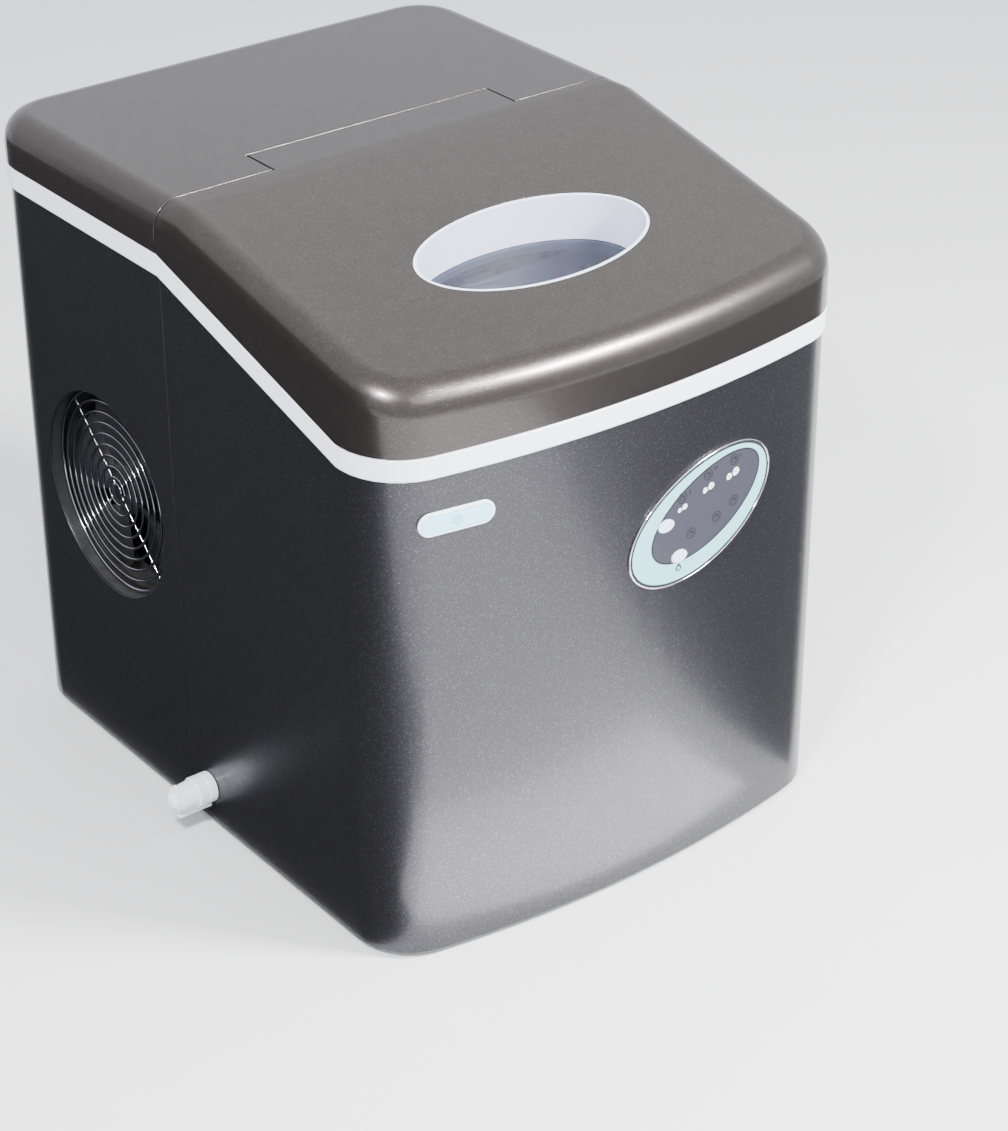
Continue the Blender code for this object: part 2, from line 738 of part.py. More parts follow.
def trim_band():
    ring = slab("trim_band", [outline(PROUD), outline(PROUD - BAND_WALL)], BAND_FRONT - BAND_HEIGHT, TOP,
                finish="white_plastic")
    return trim(ring, slab("band_side_view", [strip(0.0, BAND_HEIGHT)], -FAR, FAR, "X"))


def rear_top_cover():
    cover = dome("rear_top_cover", 0.0, "silver_paint")
    zone = slab("rear_zone", [behind_seam(SEAM_GAP / 2)], 0.0, FAR)
    hollow = dome("rear_hollow", SHELL)
    trim(hollow, block("rear_hollow_zone", (-FAR, SEAM_Y + SEAM_GAP / 2 + SHELL, 0.0), (FAR, FAR, FAR)))
    floor = slab("rear_floor", [below(BAND_HEIGHT + FIT)], -FAR, FAR, "X")
    well = block("hinge_well", (-TAB_HALF - TAB_GAP, SEAM_Y - SEAM_GAP, HINGE_Z - HINGE_SWEEP),
                 (TAB_HALF + TAB_GAP, SEAM_Y + TAB_LENGTH + TAB_GAP, FAR))
    cut(cover, hollow, floor)
    trim(cover, zone)
    cut(cover, well)
    inner = TAB_HALF + TAB_GAP
    lugs = boxes("cover_lugs", [((side * (inner + LUG_WIDTH / 2) - LUG_WIDTH / 2, HINGE_Y - LUG_HALF,
                                  HINGE_Z - LUG_REACH),
                                 (side * (inner + LUG_WIDTH / 2) + LUG_WIDTH / 2, HINGE_Y + LUG_HALF,
                                  TOP - SHELL / 2))
                                for side in (-1, 1)])
    join(cover, lugs)
    return cut(cover, hinge_bore("cover_bore"))


def hinge_bore(name):
    return pegs(name, [(0.0, HINGE_Y, HINGE_Z)], PIN_RADIUS + FIT,
                2 * (TAB_HALF + TAB_GAP + LUG_WIDTH - SHELL), "X", 16)


def hinge_pins():
    """One pin each side, through the lug on the lid's tab and into the lug on the rear cover."""
    inner = TAB_HALF - LUG_WIDTH
    outer = TAB_HALF + TAB_GAP + LUG_WIDTH - SHELL - FIT
    profile = [(0.0, outer), (PIN_RADIUS, outer), (PIN_RADIUS, inner), (0.0, inner)]
    turned("hinge_pin_right", profile, (0.0, HINGE_Y, HINGE_Z), "X", 16, "galvanised")
    turned("hinge_pin_left", profile, (0.0, HINGE_Y, HINGE_Z), "-X", 16, "galvanised")


def name_badge():
    long, high = BADGE_SIZE
    plate = slab("name_badge", [rounded((-long / 2, -high / 2), (long / 2, high / 2), high / 2 - FIT, 5)],
                 FRONT_Y - 0.02, FRONT_Y + 0.04, "Y", (BADGE_AT[0], 0.0, BADGE_AT[1]), "badge_blue")
    return trim(plate, skin_layer("badge_layer", PANEL_OUT + FIT, 0.0006))


def skin_layer(name, low, high):
    """A layer that follows the casing's outline, between two distances from it."""
    return slab(name, [outline(high), outline(low)], BASE, TOP)


def rear_screws():
    head = [(0.0, 0.0016), (SCREW_RADIUS * 0.6, 0.0013), (SCREW_RADIUS, 0.0004), (SCREW_RADIUS, 0.0),
            (0.0, 0.0)]
    side = WIDTH / 2 - SCREW_INSET
    low = BASE + SCREW_INSET - 0.005
    high = BAND_REAR - SCREW_INSET
    for name, x, z in (("rear_screw_low_left", -side, low), ("rear_screw_low_right", side, low),
                       ("rear_screw_high_left", -side, high), ("rear_screw_high_right", side, high)):
        turned(name, head, (x, REAR_Y + PANEL_OUT + FIT, z), "-Y", 12, "galvanised")


# --------------------------------------------------------------------------
# Lid
# --------------------------------------------------------------------------

def lid_shell():
    lid = dome("lid_shell", 0.0, "silver_paint", LID)
    hollow = dome("lid_hollow", SHELL)
    trim(hollow, block("lid_hollow_zone", (-FAR, -FAR, 0.0), (FAR, SEAM_Y - SEAM_GAP / 2 - SHELL, FAR)))
    floor = slab("lid_floor", [below(BAND_HEIGHT + 2 * FIT)], -FAR, FAR, "X")
    under_tab = block("under_tab", (-TAB_HALF - SHELL, SEAM_Y - SEAM_GAP / 2, 0.0),
                      (TAB_HALF + SHELL, SEAM_Y + 2 * TAB_LENGTH, TOP - SHELL))
    cut(lid, hollow, floor, slab("lid_behind", [behind_seam(-SEAM_GAP / 2)], 0.0, FAR), under_tab)
    lugs = boxes("lid_lugs", [((side * (TAB_HALF - LUG_WIDTH) - LUG_WIDTH / 2, HINGE_Y - LUG_HALF,
                                HINGE_Z - LUG_REACH),
                               (side * (TAB_HALF - LUG_WIDTH) + LUG_WIDTH / 2, HINGE_Y + LUG_HALF,
                                TOP - SHELL / 2))
                              for side in (-1, 1)])
    join(lid, lugs)
    hole = lid_slab("lid_window_hole", [ellipse(WINDOW_LONG, WINDOW_SHORT, steps=WINDOW_STEPS)],
                    2 * SHELL, -SHELL)
    return cut(lid, hinge_bore("lid_bore"), hole)


def lid_liner():
    """White inner panel of the lid, with the oval tunnel that runs up to the window's edge."""
    low = BAND_HEIGHT + LINER_RISE
    plate = slab("lid_liner", [strip(low, low + LINER_THICK)], -FAR, FAR, "X", finish="white_plastic",
                 pivot=LID)
    plan = slab("liner_plan", [outline(PROUD - SHELL - 2 * FIT)], BASE, TOP)
    front = block("liner_front", (-FAR, -FAR, 0.0), (FAR, SEAM_Y - SEAM_GAP / 2 - SHELL - 2 * FIT, FAR))
    trim(plate, plan, front)
    long = WINDOW_LONG - FIT
    short = WINDOW_SHORT - FIT
    wall = lid_slab("tunnel_outside", [ellipse(long, short, steps=WINDOW_STEPS)], 2 * TUNNEL_DEPTH, FIT)
    bore = lid_slab("tunnel_inside", [ellipse(long - TUNNEL_WALL, short - TUNNEL_WALL, steps=WINDOW_STEPS)],
                    3 * TUNNEL_DEPTH, -TUNNEL_DEPTH)
    step = TUNNEL_DEPTH + PANE_THICK + FIT
    ledge = lid_slab("tunnel_ledge", [ellipse(long - FIT, short - FIT, steps=WINDOW_STEPS),
                                      ellipse(long - LEDGE, short - LEDGE, steps=WINDOW_STEPS)],
                                      step + TUNNEL_WALL, step)
    join(plate, wall)
    cut(plate, slab("under_liner", [below(low)], -FAR, FAR, "X"), bore)
    return join(plate, ledge)


def lid_window():
    inside = TUNNEL_WALL + 2 * FIT
    return lid_slab("lid_window", [ellipse(WINDOW_LONG - inside, WINDOW_SHORT - inside,
                                           steps=WINDOW_STEPS)],
                    TUNNEL_DEPTH + PANE_THICK, TUNNEL_DEPTH, "clear_plastic", LID)


def lid_gasket():
    low = (-TUB_HALF - GASKET_WIDTH / 2, TUB_FRONT_Y - GASKET_WIDTH / 2)
    high = (TUB_HALF + GASKET_WIDTH / 2, TUB_BACK_Y + GASKET_WIDTH / 2)
    inner_low = (low[0] + GASKET_WIDTH, low[1] + GASKET_WIDTH)
    inner_high = (high[0] - GASKET_WIDTH, high[1] - GASKET_WIDTH)
    ring = slab("lid_gasket", [rounded(low, high, TUB_CORNER),
                               rounded(inner_low, inner_high, TUB_CORNER - GASKET_WIDTH / 2)],
                BASE, TOP, finish="silicone", pivot=LID)
    top = BAND_HEIGHT + LINER_RISE - FIT
    return trim(ring, slab("gasket_side_view", [strip(top - GASKET_THICK, top)], -FAR, FAR, "X"))


# --------------------------------------------------------------------------
# Cold compartment
# --------------------------------------------------------------------------

def tub_plan(out):
    return rounded((-TUB_HALF - out, TUB_FRONT_Y - out), (TUB_HALF + out, TUB_BACK_Y + out),
                   TUB_CORNER + out)


def pipe_holes(name):
    """Holes for the two refrigerant pipes and the water feed, through the back wall."""
    places = [(x, SEAM_Y, TRAY_Z + PIPE_Z) for x in (*PIPE_X, FEED_X)]
    return pegs(name, places, PIPE_HOLE, 4 * TUB_BACK, "Y", 12)


def inner_tub():
    """Walls of the compartment, with the basket's rests and the drain and pump holes."""
    tub = slab("inner_tub", [tub_plan(TUB_WALL)], TUB_BOTTOM + TUB_WALL + FIT, TOP,
               finish="white_plastic")
    trim(tub, slab("tub_side_view", [below(BAND_HEIGHT - DECK_DROP)], -FAR, FAR, "X"))
    cut(tub, slab("tub_hollow", [tub_plan(0.0)], TUB_BOTTOM, FAR))
    wall = TUB_HALF + TUB_WALL / 2
    rests = []
    for near, far in ((-wall, -REST_IN), (REST_IN, wall)):
        rests.append(((near, TUB_FRONT_Y + TUB_CORNER, BASKET_Z - FIT - REST_HEIGHT),
                      (far, BASKET_Y + BASKET_LENGTH, BASKET_Z - FIT)))
    join(tub, boxes("basket_rests", rests))
    drain = pegs("tub_drain_hole", [(-TUB_HALF, DRAIN_Y, DRAIN_Z)], DRAIN_BORE, 4 * TUB_WALL, "X")
    intake = pegs("tub_intake_hole", [(PUMP_AT[0], TUB_BACK_Y, INTAKE_Z)], HOSE_RADIUS, 4 * TUB_WALL, "Y")
    return cut(tub, drain, intake, pipe_holes("tub_pipe_holes"))


def tub_floor():
    """Floor of the compartment, under its walls."""
    return slab("tub_floor", [tub_plan(TUB_WALL)], TUB_BOTTOM, TUB_BOTTOM + TUB_WALL,
                finish="white_plastic")


def tub_deck():
    """Sloping deck round the compartment's mouth, out to the band."""
    top = BAND_HEIGHT - DECK_DROP
    deck = slab("tub_deck", [outline(PROUD - BAND_WALL - FIT)], BASE, TOP, finish="white_plastic")
    trim(deck, slab("deck_side_view", [strip(top - DECK_THICK, top)], -FAR, FAR, "X"),
         block("deck_front", (-FAR, -FAR, 0.0), (FAR, SEAM_Y + SEAM_GAP / 2 - FIT, FAR)))
    return cut(deck, slab("deck_mouth", [tub_plan(TUB_WALL + FIT)], BASE, FAR))


def foam_jacket():
    foam = slab("foam_jacket", [tub_plan(TUB_WALL + FIT + FOAM)], TUB_BOTTOM - FIT - FOAM_UNDER, FOAM_TOP,
                finish="foam")
    cut(foam, slab("foam_hollow", [tub_plan(TUB_WALL + FIT)], TUB_BOTTOM - FIT, FAR))
    drain = pegs("foam_drain_hole", [(-TUB_HALF - FOAM, DRAIN_Y, DRAIN_Z)], DRAIN_SHANK + FIT, 3 * FOAM,
                 "X")
    intake = pegs("foam_intake_hole", [(PUMP_AT[0], TUB_BACK_Y + FOAM, INTAKE_Z)], HOSE_RADIUS + FIT,
                  3 * FOAM, "Y")
    return cut(foam, drain, intake)


def bulkhead():
    low = (-BULKHEAD_HALF, BAY_FLOOR)
    high = (BULKHEAD_HALF, BAND_REAR + BAND_HEIGHT - FIT)
    pipes = [circle(PIPE_HOLE, 12, (x, TRAY_Z + PIPE_Z)) for x in (*PIPE_X, FEED_X)]
    intake = circle(HOSE_RADIUS + FIT, 12, (PUMP_AT[0], INTAKE_Z))
    return slab("bulkhead", [rectangle(low, high), *pipes, intake], BULKHEAD_Y,
                BULKHEAD_Y + BULKHEAD_THICK, "Y",
                finish="galvanised")


def basket_plan(out, corner):
    """Outline of the basket, moved outwards by out."""
    return rounded((-BASKET_HALF - out, BASKET_Y - out), (BASKET_HALF + out, BASKET_Y + BASKET_LENGTH + out),
                   corner + out)


def ice_basket():
    """Walls of the basket with the rim round their top."""
    top = BASKET_Z + BASKET_HEIGHT
    basket = slab("ice_basket", [basket_plan(0.0, BASKET_CORNER)], BASKET_Z + BASKET_WALL + FIT, top,
                  finish="white_plastic", pivot=BASKET)
    join(basket, slab("basket_rim", [basket_plan(BASKET_RIM, BASKET_CORNER)], top - BASKET_WALL, top))
    return cut(basket, slab("basket_hollow", [basket_plan(-BASKET_WALL, BASKET_CORNER)], BASKET_Z, FAR))


def basket_floor():
    return slab("basket_floor", [basket_plan(0.0, BASKET_CORNER)], BASKET_Z, BASKET_Z + BASKET_WALL,
                finish="white_plastic", pivot=BASKET)


def ice_sensors():
    """Lamp and eye that look across the basket's top, one on each side wall."""
    profile = [(0.0, 0.004), (0.004, 0.004), (0.006, 0.002), (0.006, 0.0), (0.0, 0.0)]
    z = BASKET_Z + BASKET_HEIGHT + SENSOR_RISE
    y = BASKET_Y + BASKET_LENGTH / 2
    turned("ice_sensor_left", profile, (-TUB_HALF + FIT, y, z), "X", 16, "black_plastic")
    turned("ice_sensor_right", profile, (TUB_HALF - FIT, y, z), "-X", 16, "black_plastic")


# --------------------------------------------------------------------------
# Ice making
# --------------------------------------------------------------------------

def evaporator():
    """Looped refrigerant pipe with hollow fingers hanging from it in two rows."""
    first, last = PIPE_X
    top = TRAY_Z + PIPE_Z
    low = TRAY_Z + COIL_Z
    back = BULKHEAD_Y + PIPE_BEND
    front = TRAY_Y - COIL_HALF
    rear = TRAY_Y + COIL_HALF
    risen = TRAY_Y - PIPE_SHIFT
    path = [(first, back, top), (first, front, top), (first, front, low), (COIL_END, front, low),
            (COIL_END, rear, low), (last, rear, low), (last, risen, low + PIPE_BEND), (last, risen, top),
            (last, back, top)]
    coil = tube("evaporator", path, COIL_RADIUS, PIPE_BEND - FIT, "copper", welded=True)
    places = []
    for row in (front, rear):
        for i in range(FINGERS):
            places.append(((i - (FINGERS - 1) / 2) * FINGER_PITCH, row,
                           TRAY_Z + (COIL_Z - FINGER_BELOW) / 2))
    return join(coil, pegs("fingers", places, FINGER_RADIUS, COIL_Z + FINGER_BELOW))


def evaporator_bracket():
    """Bridge over the tray: top plate, back flange and two cheeks with the tray's and shovel's bearings."""
    back = TRAY_BACK - FIT
    plate = BRACKET_TOP - CHEEK
    bridge = slab("evaporator_bracket", [[(-BRACKET_HALF, plate), (back - CHEEK, plate),
                                          (back - CHEEK, -BRACKET_DROP),
                                          (back, -BRACKET_DROP), (back, BRACKET_TOP),
                                          (-BRACKET_HALF, BRACKET_TOP)]],
                  -CHEEK_X - CHEEK, CHEEK_X + CHEEK, "X", (0.0, TRAY_Y, TRAY_Z), "galvanised")
    arm = -SHOVEL_AHEAD - CHEEK_ARM
    side_view = [(arm, SHOVEL_Z - CHEEK_ARM), (-CHEEK_LEG, SHOVEL_Z - CHEEK_ARM), (-CHEEK_LEG, -CHEEK_LEG),
                 (back, -CHEEK_LEG), (back, BRACKET_TOP), (arm, BRACKET_TOP)]
    bearings = [circle(TRAY_PIN + FIT, 16), circle(SHOVEL_ROD + FIT, 12, (-SHOVEL_AHEAD, SHOVEL_Z))]
    for name, low in (("cheek_left", -CHEEK_X - CHEEK), ("cheek_right", CHEEK_X)):
        join(bridge, slab(name, [side_view, *bearings], low, low + CHEEK, "X", (0.0, TRAY_Y, TRAY_Z)))
    z = TRAY_Z + BRACKET_TOP
    places = [(PIPE_X[0], TRAY_Y - COIL_HALF, z), (PIPE_X[1], TRAY_Y - PIPE_SHIFT, z), (FEED_X, TRAY_Y, z)]
    return cut(bridge, pegs("bracket_holes", places, PIPE_HOLE, 4 * CHEEK))


def water_tray():
    """Half-round trough that the fingers dip into, on a pin at each end."""
    place = (0.0, TRAY_Y, TRAY_Z)
    half_turn = arc((0.0, 0.0), TRAY_RADIUS, math.pi, math.tau, 16)
    tray = slab("water_tray", [half_turn], -TRAY_HALF, TRAY_HALF, "X", place, "white_plastic", TRAY)
    hollow = arc((0.0, 0.0), TRAY_RADIUS - TRAY_WALL, math.pi, math.tau, 16)[1:-1]
    hollow += [(TRAY_RADIUS - TRAY_WALL, TRAY_RADIUS), (TRAY_WALL - TRAY_RADIUS, TRAY_RADIUS)]
    cut(tray, slab("tray_hollow", [hollow], TRAY_WALL - TRAY_HALF, TRAY_HALF - TRAY_WALL, "X", place))
    pin = CHEEK_X + CHEEK
    outer = TRAY_HALF + FIT
    inner = TRAY_HALF - TRAY_WALL - FIT
    profile = [(0.0, pin), (TRAY_PIN, pin), (TRAY_PIN, outer), (TRAY_BOSS, outer), (TRAY_BOSS, inner),
               (0.0, inner)]
    return join(tray, turned("tray_pin_right", profile, place, "X", 16),
                turned("tray_pin_left", profile, place, "-X", 16))


def tray_motor():
    length, wide, high = MOTOR_SIZE
    low = (CHEEK_X + CHEEK + FIT, TRAY_Y - wide / 2, TRAY_Z - high / 2)
    motor = block("tray_motor", low, (low[0] + length, low[1] + wide, low[2] + high), "white_plastic",
                  soften=0.002)
    return motor


def ice_shovel():
    """Comb that hangs in front of the tray and swings forward to push the ice into the basket."""
    half = TRAY_HALF - SHOVEL_SIDE
    pitch = 2 * half / (2 * SHOVEL_TEETH - 1)
    comb = [(half, SHOVEL_ROD), (-half, SHOVEL_ROD)]
    for i in range(SHOVEL_TEETH):
        x = -half + 2 * i * pitch
        if i:
            comb.append((x, -SHOVEL_BAR))
        comb += [(x, -SHOVEL_LENGTH), (x + pitch, -SHOVEL_LENGTH)]
        if i < SHOVEL_TEETH - 1:
            comb.append((x + pitch, -SHOVEL_BAR))
    place = (0.0, TRAY_Y - SHOVEL_AHEAD, TRAY_Z + SHOVEL_Z)
    shovel = slab("ice_shovel", [comb], -SHOVEL_THICK / 2, SHOVEL_THICK / 2, "Y", place,
                  "white_plastic", SHOVEL)
    rod = pegs("shovel_rod", [place], SHOVEL_ROD, 2 * (CHEEK_X + CHEEK), "X", 12)
    return join(shovel, rod)


# --------------------------------------------------------------------------
# Fan and condenser
# --------------------------------------------------------------------------

def fan_shroud():
    """Square flange and round duct behind the side opening, with a cross that carries the motor."""
    face = -SIDE_IN + FIT
    edge = SHROUD_FLANGE
    place = (0.0, FAN_Y, FAN_Z)
    reach = FAN_OPENING + SHROUD_WALL / 2
    flange = slab("fan_shroud", [rectangle((-edge, -edge), (edge, edge)), circle(reach, FAN_STEPS)],
                  face, face + SHROUD_WALL, "X", place, "black_plastic")
    duct = slab("duct", [circle(FAN_OPENING + SHROUD_WALL, FAN_STEPS), circle(FAN_OPENING, FAN_STEPS)],
                face + FIT, face + SHROUD_LENGTH, "X", place)
    back = face + SHROUD_LENGTH - FIT
    cross = slab("motor_cross", [cross_outline(reach, *SHROUD_ARM), circle(FAN_SHAFT * 2, 16)],
                 back - SHROUD_WALL,
                 back, "X", place)
    return join(flange, duct, cross)


def cross_outline(reach, root, tip):
    """A cross whose four arms taper from root to tip, half widths."""
    points = []
    for quarter in range(4):
        turn = quarter * math.pi / 2
        for u, v in ((root, -root), (reach, -tip), (reach, tip)):
            points.append((u * math.cos(turn) - v * math.sin(turn),
                           u * math.sin(turn) + v * math.cos(turn)))
    return points


def fan_guard():
    """Wire guard as a flat grille: rings of even pitch, four spokes on the diagonals."""
    low = -SIDE_IN + GUARD_RECESS
    loops = [circle(FAN_OPENING - FIT, 32)]
    inner = GUARD_HUB
    rings = [GUARD_FIRST + i * GUARD_PITCH for i in range(GUARD_RINGS)]
    for index, ring in enumerate(rings):
        outer = ring - GUARD_WIRE / 2
        for quarter in range(4):
            loops.append(guard_slot(inner, outer, quarter, 2 + index // 2))
        inner = ring + GUARD_WIRE / 2
    rim = FAN_OPENING - FIT - GUARD_RIM
    for quarter in range(4):
        loops.append(guard_slot(inner, rim, quarter, 6))
    return slab("fan_guard", loops, low, low + GUARD_THICK, "X", (0.0, FAN_Y, FAN_Z), "wire_chrome")


def guard_slot(inner, outer, quarter, steps):
    """One opening of the guard between two rings and two spokes."""
    start = math.pi / 4 + quarter * math.pi / 2
    points = []
    for radius, ends in ((inner, (0.0, 1.0)), (outer, (1.0, 0.0))):
        spoke = math.asin(GUARD_WIRE / 2 / radius)
        first = start + spoke
        span = math.pi / 2 - 2 * spoke
        points += arc((0.0, 0.0), radius, first + span * ends[0], first + span * ends[1], steps)
    return points


def fan_blade():
    """Fan wheel: a hub with a blind bore and pitched blades."""
    back = FAN_BACK_X
    place = (back, FAN_Y, FAN_Z)
    profile = [(0.0, -FAN_BORE_DEPTH), (FAN_SHAFT + FIT, -FAN_BORE_DEPTH),
               (FAN_SHAFT + FIT, 0.0),
               (FAN_HUB, 0.0), (FAN_HUB, FAN_HUB_EDGE - FAN_HUB_LENGTH),
               (FAN_HUB - FAN_HUB_EDGE, -FAN_HUB_LENGTH),
               (0.0, -FAN_HUB_LENGTH)]
    wheel = turned("fan_blade", profile, place, "X", 24, "black_plastic", FAN)
    root = FAN_HUB - FAN_ROOT_IN
    leaf = [(-FAN_ROOT, root), (FAN_ROOT, root)] + arc(
        (0.0, 0.0), FAN_RADIUS, math.pi / 2 - FAN_SWEEP, math.pi / 2 + FAN_SWEEP, 4)
    middle = -FAN_HUB_LENGTH / 2
    blades = slab("blades", [leaf], -FAN_LEAF / 2, FAN_LEAF / 2)
    blade_mesh = blades.data
    shape = bmesh.new()
    for i in range(FAN_BLADES):
        before = set(shape.verts)
        shape.from_mesh(blade_mesh)
        fresh = [vert for vert in shape.verts if vert not in before]
        pose = (Matrix.Translation((back + middle, FAN_Y,
                                    FAN_Z)) @ Matrix.Rotation(i * math.tau / FAN_BLADES, 4, "X")
                @ Matrix.Rotation(FAN_PITCH, 4, "Z") @ Euler(TURN["X"]).to_matrix().to_4x4())
        bmesh.ops.transform(shape, matrix=pose, verts=fresh)
    shape.to_mesh(blade_mesh)
    shape.free()
    blades.location = (0.0, 0.0, 0.0)
    return join(wheel, blades)


def fan_motor():
    radius, length = FAN_MOTOR
    start = -SIDE_IN + FIT + SHROUD_LENGTH + FIT
    shaft = FAN_BACK_X - start - FAN_SHAFT_IN
    profile = [(0.0, length), (radius - 0.003, length), (radius, length - 0.003), (radius, 0.0),
               (FAN_SHAFT, 0.0),
               (FAN_SHAFT, shaft), (0.0, shaft)]
    return turned("fan_motor", profile, (start, FAN_Y, FAN_Z), "X", 20, "galvanised")


def condenser():
    """Finned core between two end plates that stand on the base."""
    low, high = CONDENSER_X
    core = block("condenser", (low, FAN_Y - CONDENSER_HALF, FAN_Z - CONDENSER_HALF),
                 (high, FAN_Y + CONDENSER_HALF, FAN_Z + CONDENSER_HALF), "galvanised")
    plates = []
    for side in (-1, 1):
        y = FAN_Y + side * CONDENSER_HALF
        plates.append(((low - 0.001, y - 0.00075, BAY_FLOOR),
                       (high + 0.001, y + 0.00075, FAN_Z + CONDENSER_HALF - FIT)))
    return join(core, boxes("end_plates", plates))


# --------------------------------------------------------------------------
# Cooling circuit and water
# --------------------------------------------------------------------------

def compressor():
    top = COMPRESSOR_HEIGHT
    radius = COMPRESSOR_RADIUS
    profile = [(0.0, top), (radius * 0.45, top - 0.002), (radius * 0.85, top - 0.012),
               (radius - 0.001, top - 0.028),
               (radius, 0.075), (radius + 0.0015, 0.072), (radius + 0.0015, 0.066), (radius, 0.063),
               (radius, 0.018), (radius * 0.9, 0.006), (radius * 0.7, 0.0), (0.0, 0.0)]
    return turned("compressor", profile, (*COMPRESSOR_AT, COMPRESSOR_FOOT), steps=24, finish="black_paint")


def compressor_mount():
    x, y = COMPRESSOR_AT
    half = COMPRESSOR_RADIUS + 0.006
    return slab("compressor_mount", [rounded((x - half, y - half), (x + half, y + half), 0.02)], BAY_FLOOR,
                COMPRESSOR_FOOT - FIT, finish="galvanised")


def refrigerant_tubes():
    x, y = COMPRESSOR_AT
    dome_top = COMPRESSOR_FOOT + COMPRESSOR_HEIGHT
    suction_x = x - TUBE_APART
    discharge_x = x + TUBE_APART
    start = BULKHEAD_Y + PIPE_BEND + FIT
    high = TRAY_Z + PIPE_Z
    lane = BULKHEAD_Y + SUCTION_LANE
    drop = high - SUCTION_DROP
    over = TUBE_CLEAR * 2
    tube("suction_tube", [(PIPE_X[0], start, high), (PIPE_X[0], lane, high), (PIPE_X[0], lane, drop),
                          (suction_x, lane, drop), (suction_x, y, drop), (suction_x, y, dome_top + over)],
         TUBE_RADIUS, 0.012, "copper")
    core_x = sum(CONDENSER_X) / 2
    back_lane = FAN_Y + CONDENSER_HALF - 0.010
    tube("discharge_tube", [(discharge_x, y, dome_top + over), (discharge_x, y, DISCHARGE_Z),
                            (discharge_x, back_lane, DISCHARGE_Z), (core_x, back_lane, DISCHARGE_Z),
                            (core_x, back_lane, FAN_Z + CONDENSER_HALF + FIT)], TUBE_RADIUS, 0.010,
                            "copper")
    drier_y = FAN_Y + CONDENSER_HALF + DRIER_BACK
    tube("capillary_tube", [(PIPE_X[1], start, high), (PIPE_X[1], drier_y, high),
                            (PIPE_X[1], drier_y, DRIER_TOP + FIT)],
         CAPILLARY_RADIUS, 0.012, "copper")
    profile = [(0.0, 0.0), (0.004, 0.0), (0.009, -0.012), (0.009, -0.075), (0.004, -0.088), (0.0, -0.088)]
    turned("filter_drier", profile, (PIPE_X[1], drier_y, DRIER_TOP), steps=16, finish="copper")
    valve_x = VALVE_X
    body = block("hot_gas_valve", (valve_x - 0.010, back_lane - 0.010, DISCHARGE_Z - 0.010),
                 (valve_x + 0.010, back_lane + 0.010, DISCHARGE_Z + 0.034), "black_plastic", soften=0.0015)
    cut(body, pegs("valve_bore", [(valve_x, back_lane, DISCHARGE_Z)], TUBE_RADIUS + FIT, 0.06, "X", 16))


def water_pump():
    spout, rise = PUMP_SPOUT
    shoulder = PUMP_HEIGHT - rise
    profile = [(0.0, PUMP_HEIGHT), (spout, PUMP_HEIGHT), (spout, shoulder), (PUMP_RADIUS - PUMP_EDGE, shoulder),
               (PUMP_RADIUS, shoulder - PUMP_EDGE), (PUMP_RADIUS, 0.0), (0.0, 0.0)]
    return turned("water_pump", profile, (*PUMP_AT, BAY_FLOOR), steps=20, finish="black_plastic")


def hoses():
    x, y = PUMP_AT
    high = TRAY_Z + PIPE_Z
    top = BAY_FLOOR + PUMP_HEIGHT
    tube("pump_hose", [(x, y, top + FIT), (x, y, high), (x, TRAY_Y, high),
                       (x, TRAY_Y, TRAY_Z + TRAY_RADIUS + CHEEK)],
         HOSE_RADIUS, HOSE_BEND, "silicone")
    tube("pump_intake_hose", [(x, TUB_BACK_Y + TUB_WALL + FIT, INTAKE_Z),
                              (x, y - PUMP_RADIUS - FIT, INTAKE_Z)],
         HOSE_RADIUS, 0.01, "silicone")


def drain_tap():
    """Tap body through the left side and the cap that turns on it to open."""
    place = (-SIDE_X, DRAIN_Y, DRAIN_Z)
    inner = -(SIDE_X - TUB_HALF - TUB_WALL - FIT)
    end = FIT + DRAIN_COLLAR_LENGTH
    profile = [(DRAIN_BORE, end), (DRAIN_COLLAR - 0.001, end), (DRAIN_COLLAR, end - 0.001),
               (DRAIN_COLLAR, FIT),
               (DRAIN_SHANK, FIT), (DRAIN_SHANK, inner), (DRAIN_BORE, inner), (DRAIN_BORE, end)]
    turned("drain_tap", profile, place, "-X", 20, "white_plastic")
    low = end + FIT
    high = low + DRAIN_CAP_LENGTH
    radius = DRAIN_COLLAR
    cap = [(0.0, high), (0.004, high - 0.0006), (0.0068, high - 0.003), (0.0082, high - 0.006),
           (0.0094, low + 0.008),
           (0.0094, low + 0.0065), (radius, low + 0.006), (radius, low), (0.0, low)]
    knob = turned("drain_cap", cap, place, "-X", 20, "white_plastic", TAP)
    under = DRAIN_Z - DRAIN_COLLAR - LEVER_DROP
    tip = -SIDE_X - high + LEVER_TIP
    lever = boxes("drain_lever", [((tip, DRAIN_Y - LEVER_HALF, under),
                                   (-SIDE_X - LEVER_GAP, DRAIN_Y + LEVER_HALF,
                                                                       under + LEVER_THICK))])
    web = boxes("lever_web", [((tip + FIT, DRAIN_Y - LEVER_HALF + FIT, under + FIT),
                               (-SIDE_X - low - LEVER_GAP, DRAIN_Y + LEVER_HALF - FIT,
                                DRAIN_Z - LEVER_HALF))])
    return join(knob, lever, web)


# --------------------------------------------------------------------------
# Controls and wiring
# --------------------------------------------------------------------------

def control_ellipse(inset):
    return ellipse(CONTROL_LONG - inset, CONTROL_SHORT - inset, CONTROL_TILT, 48)


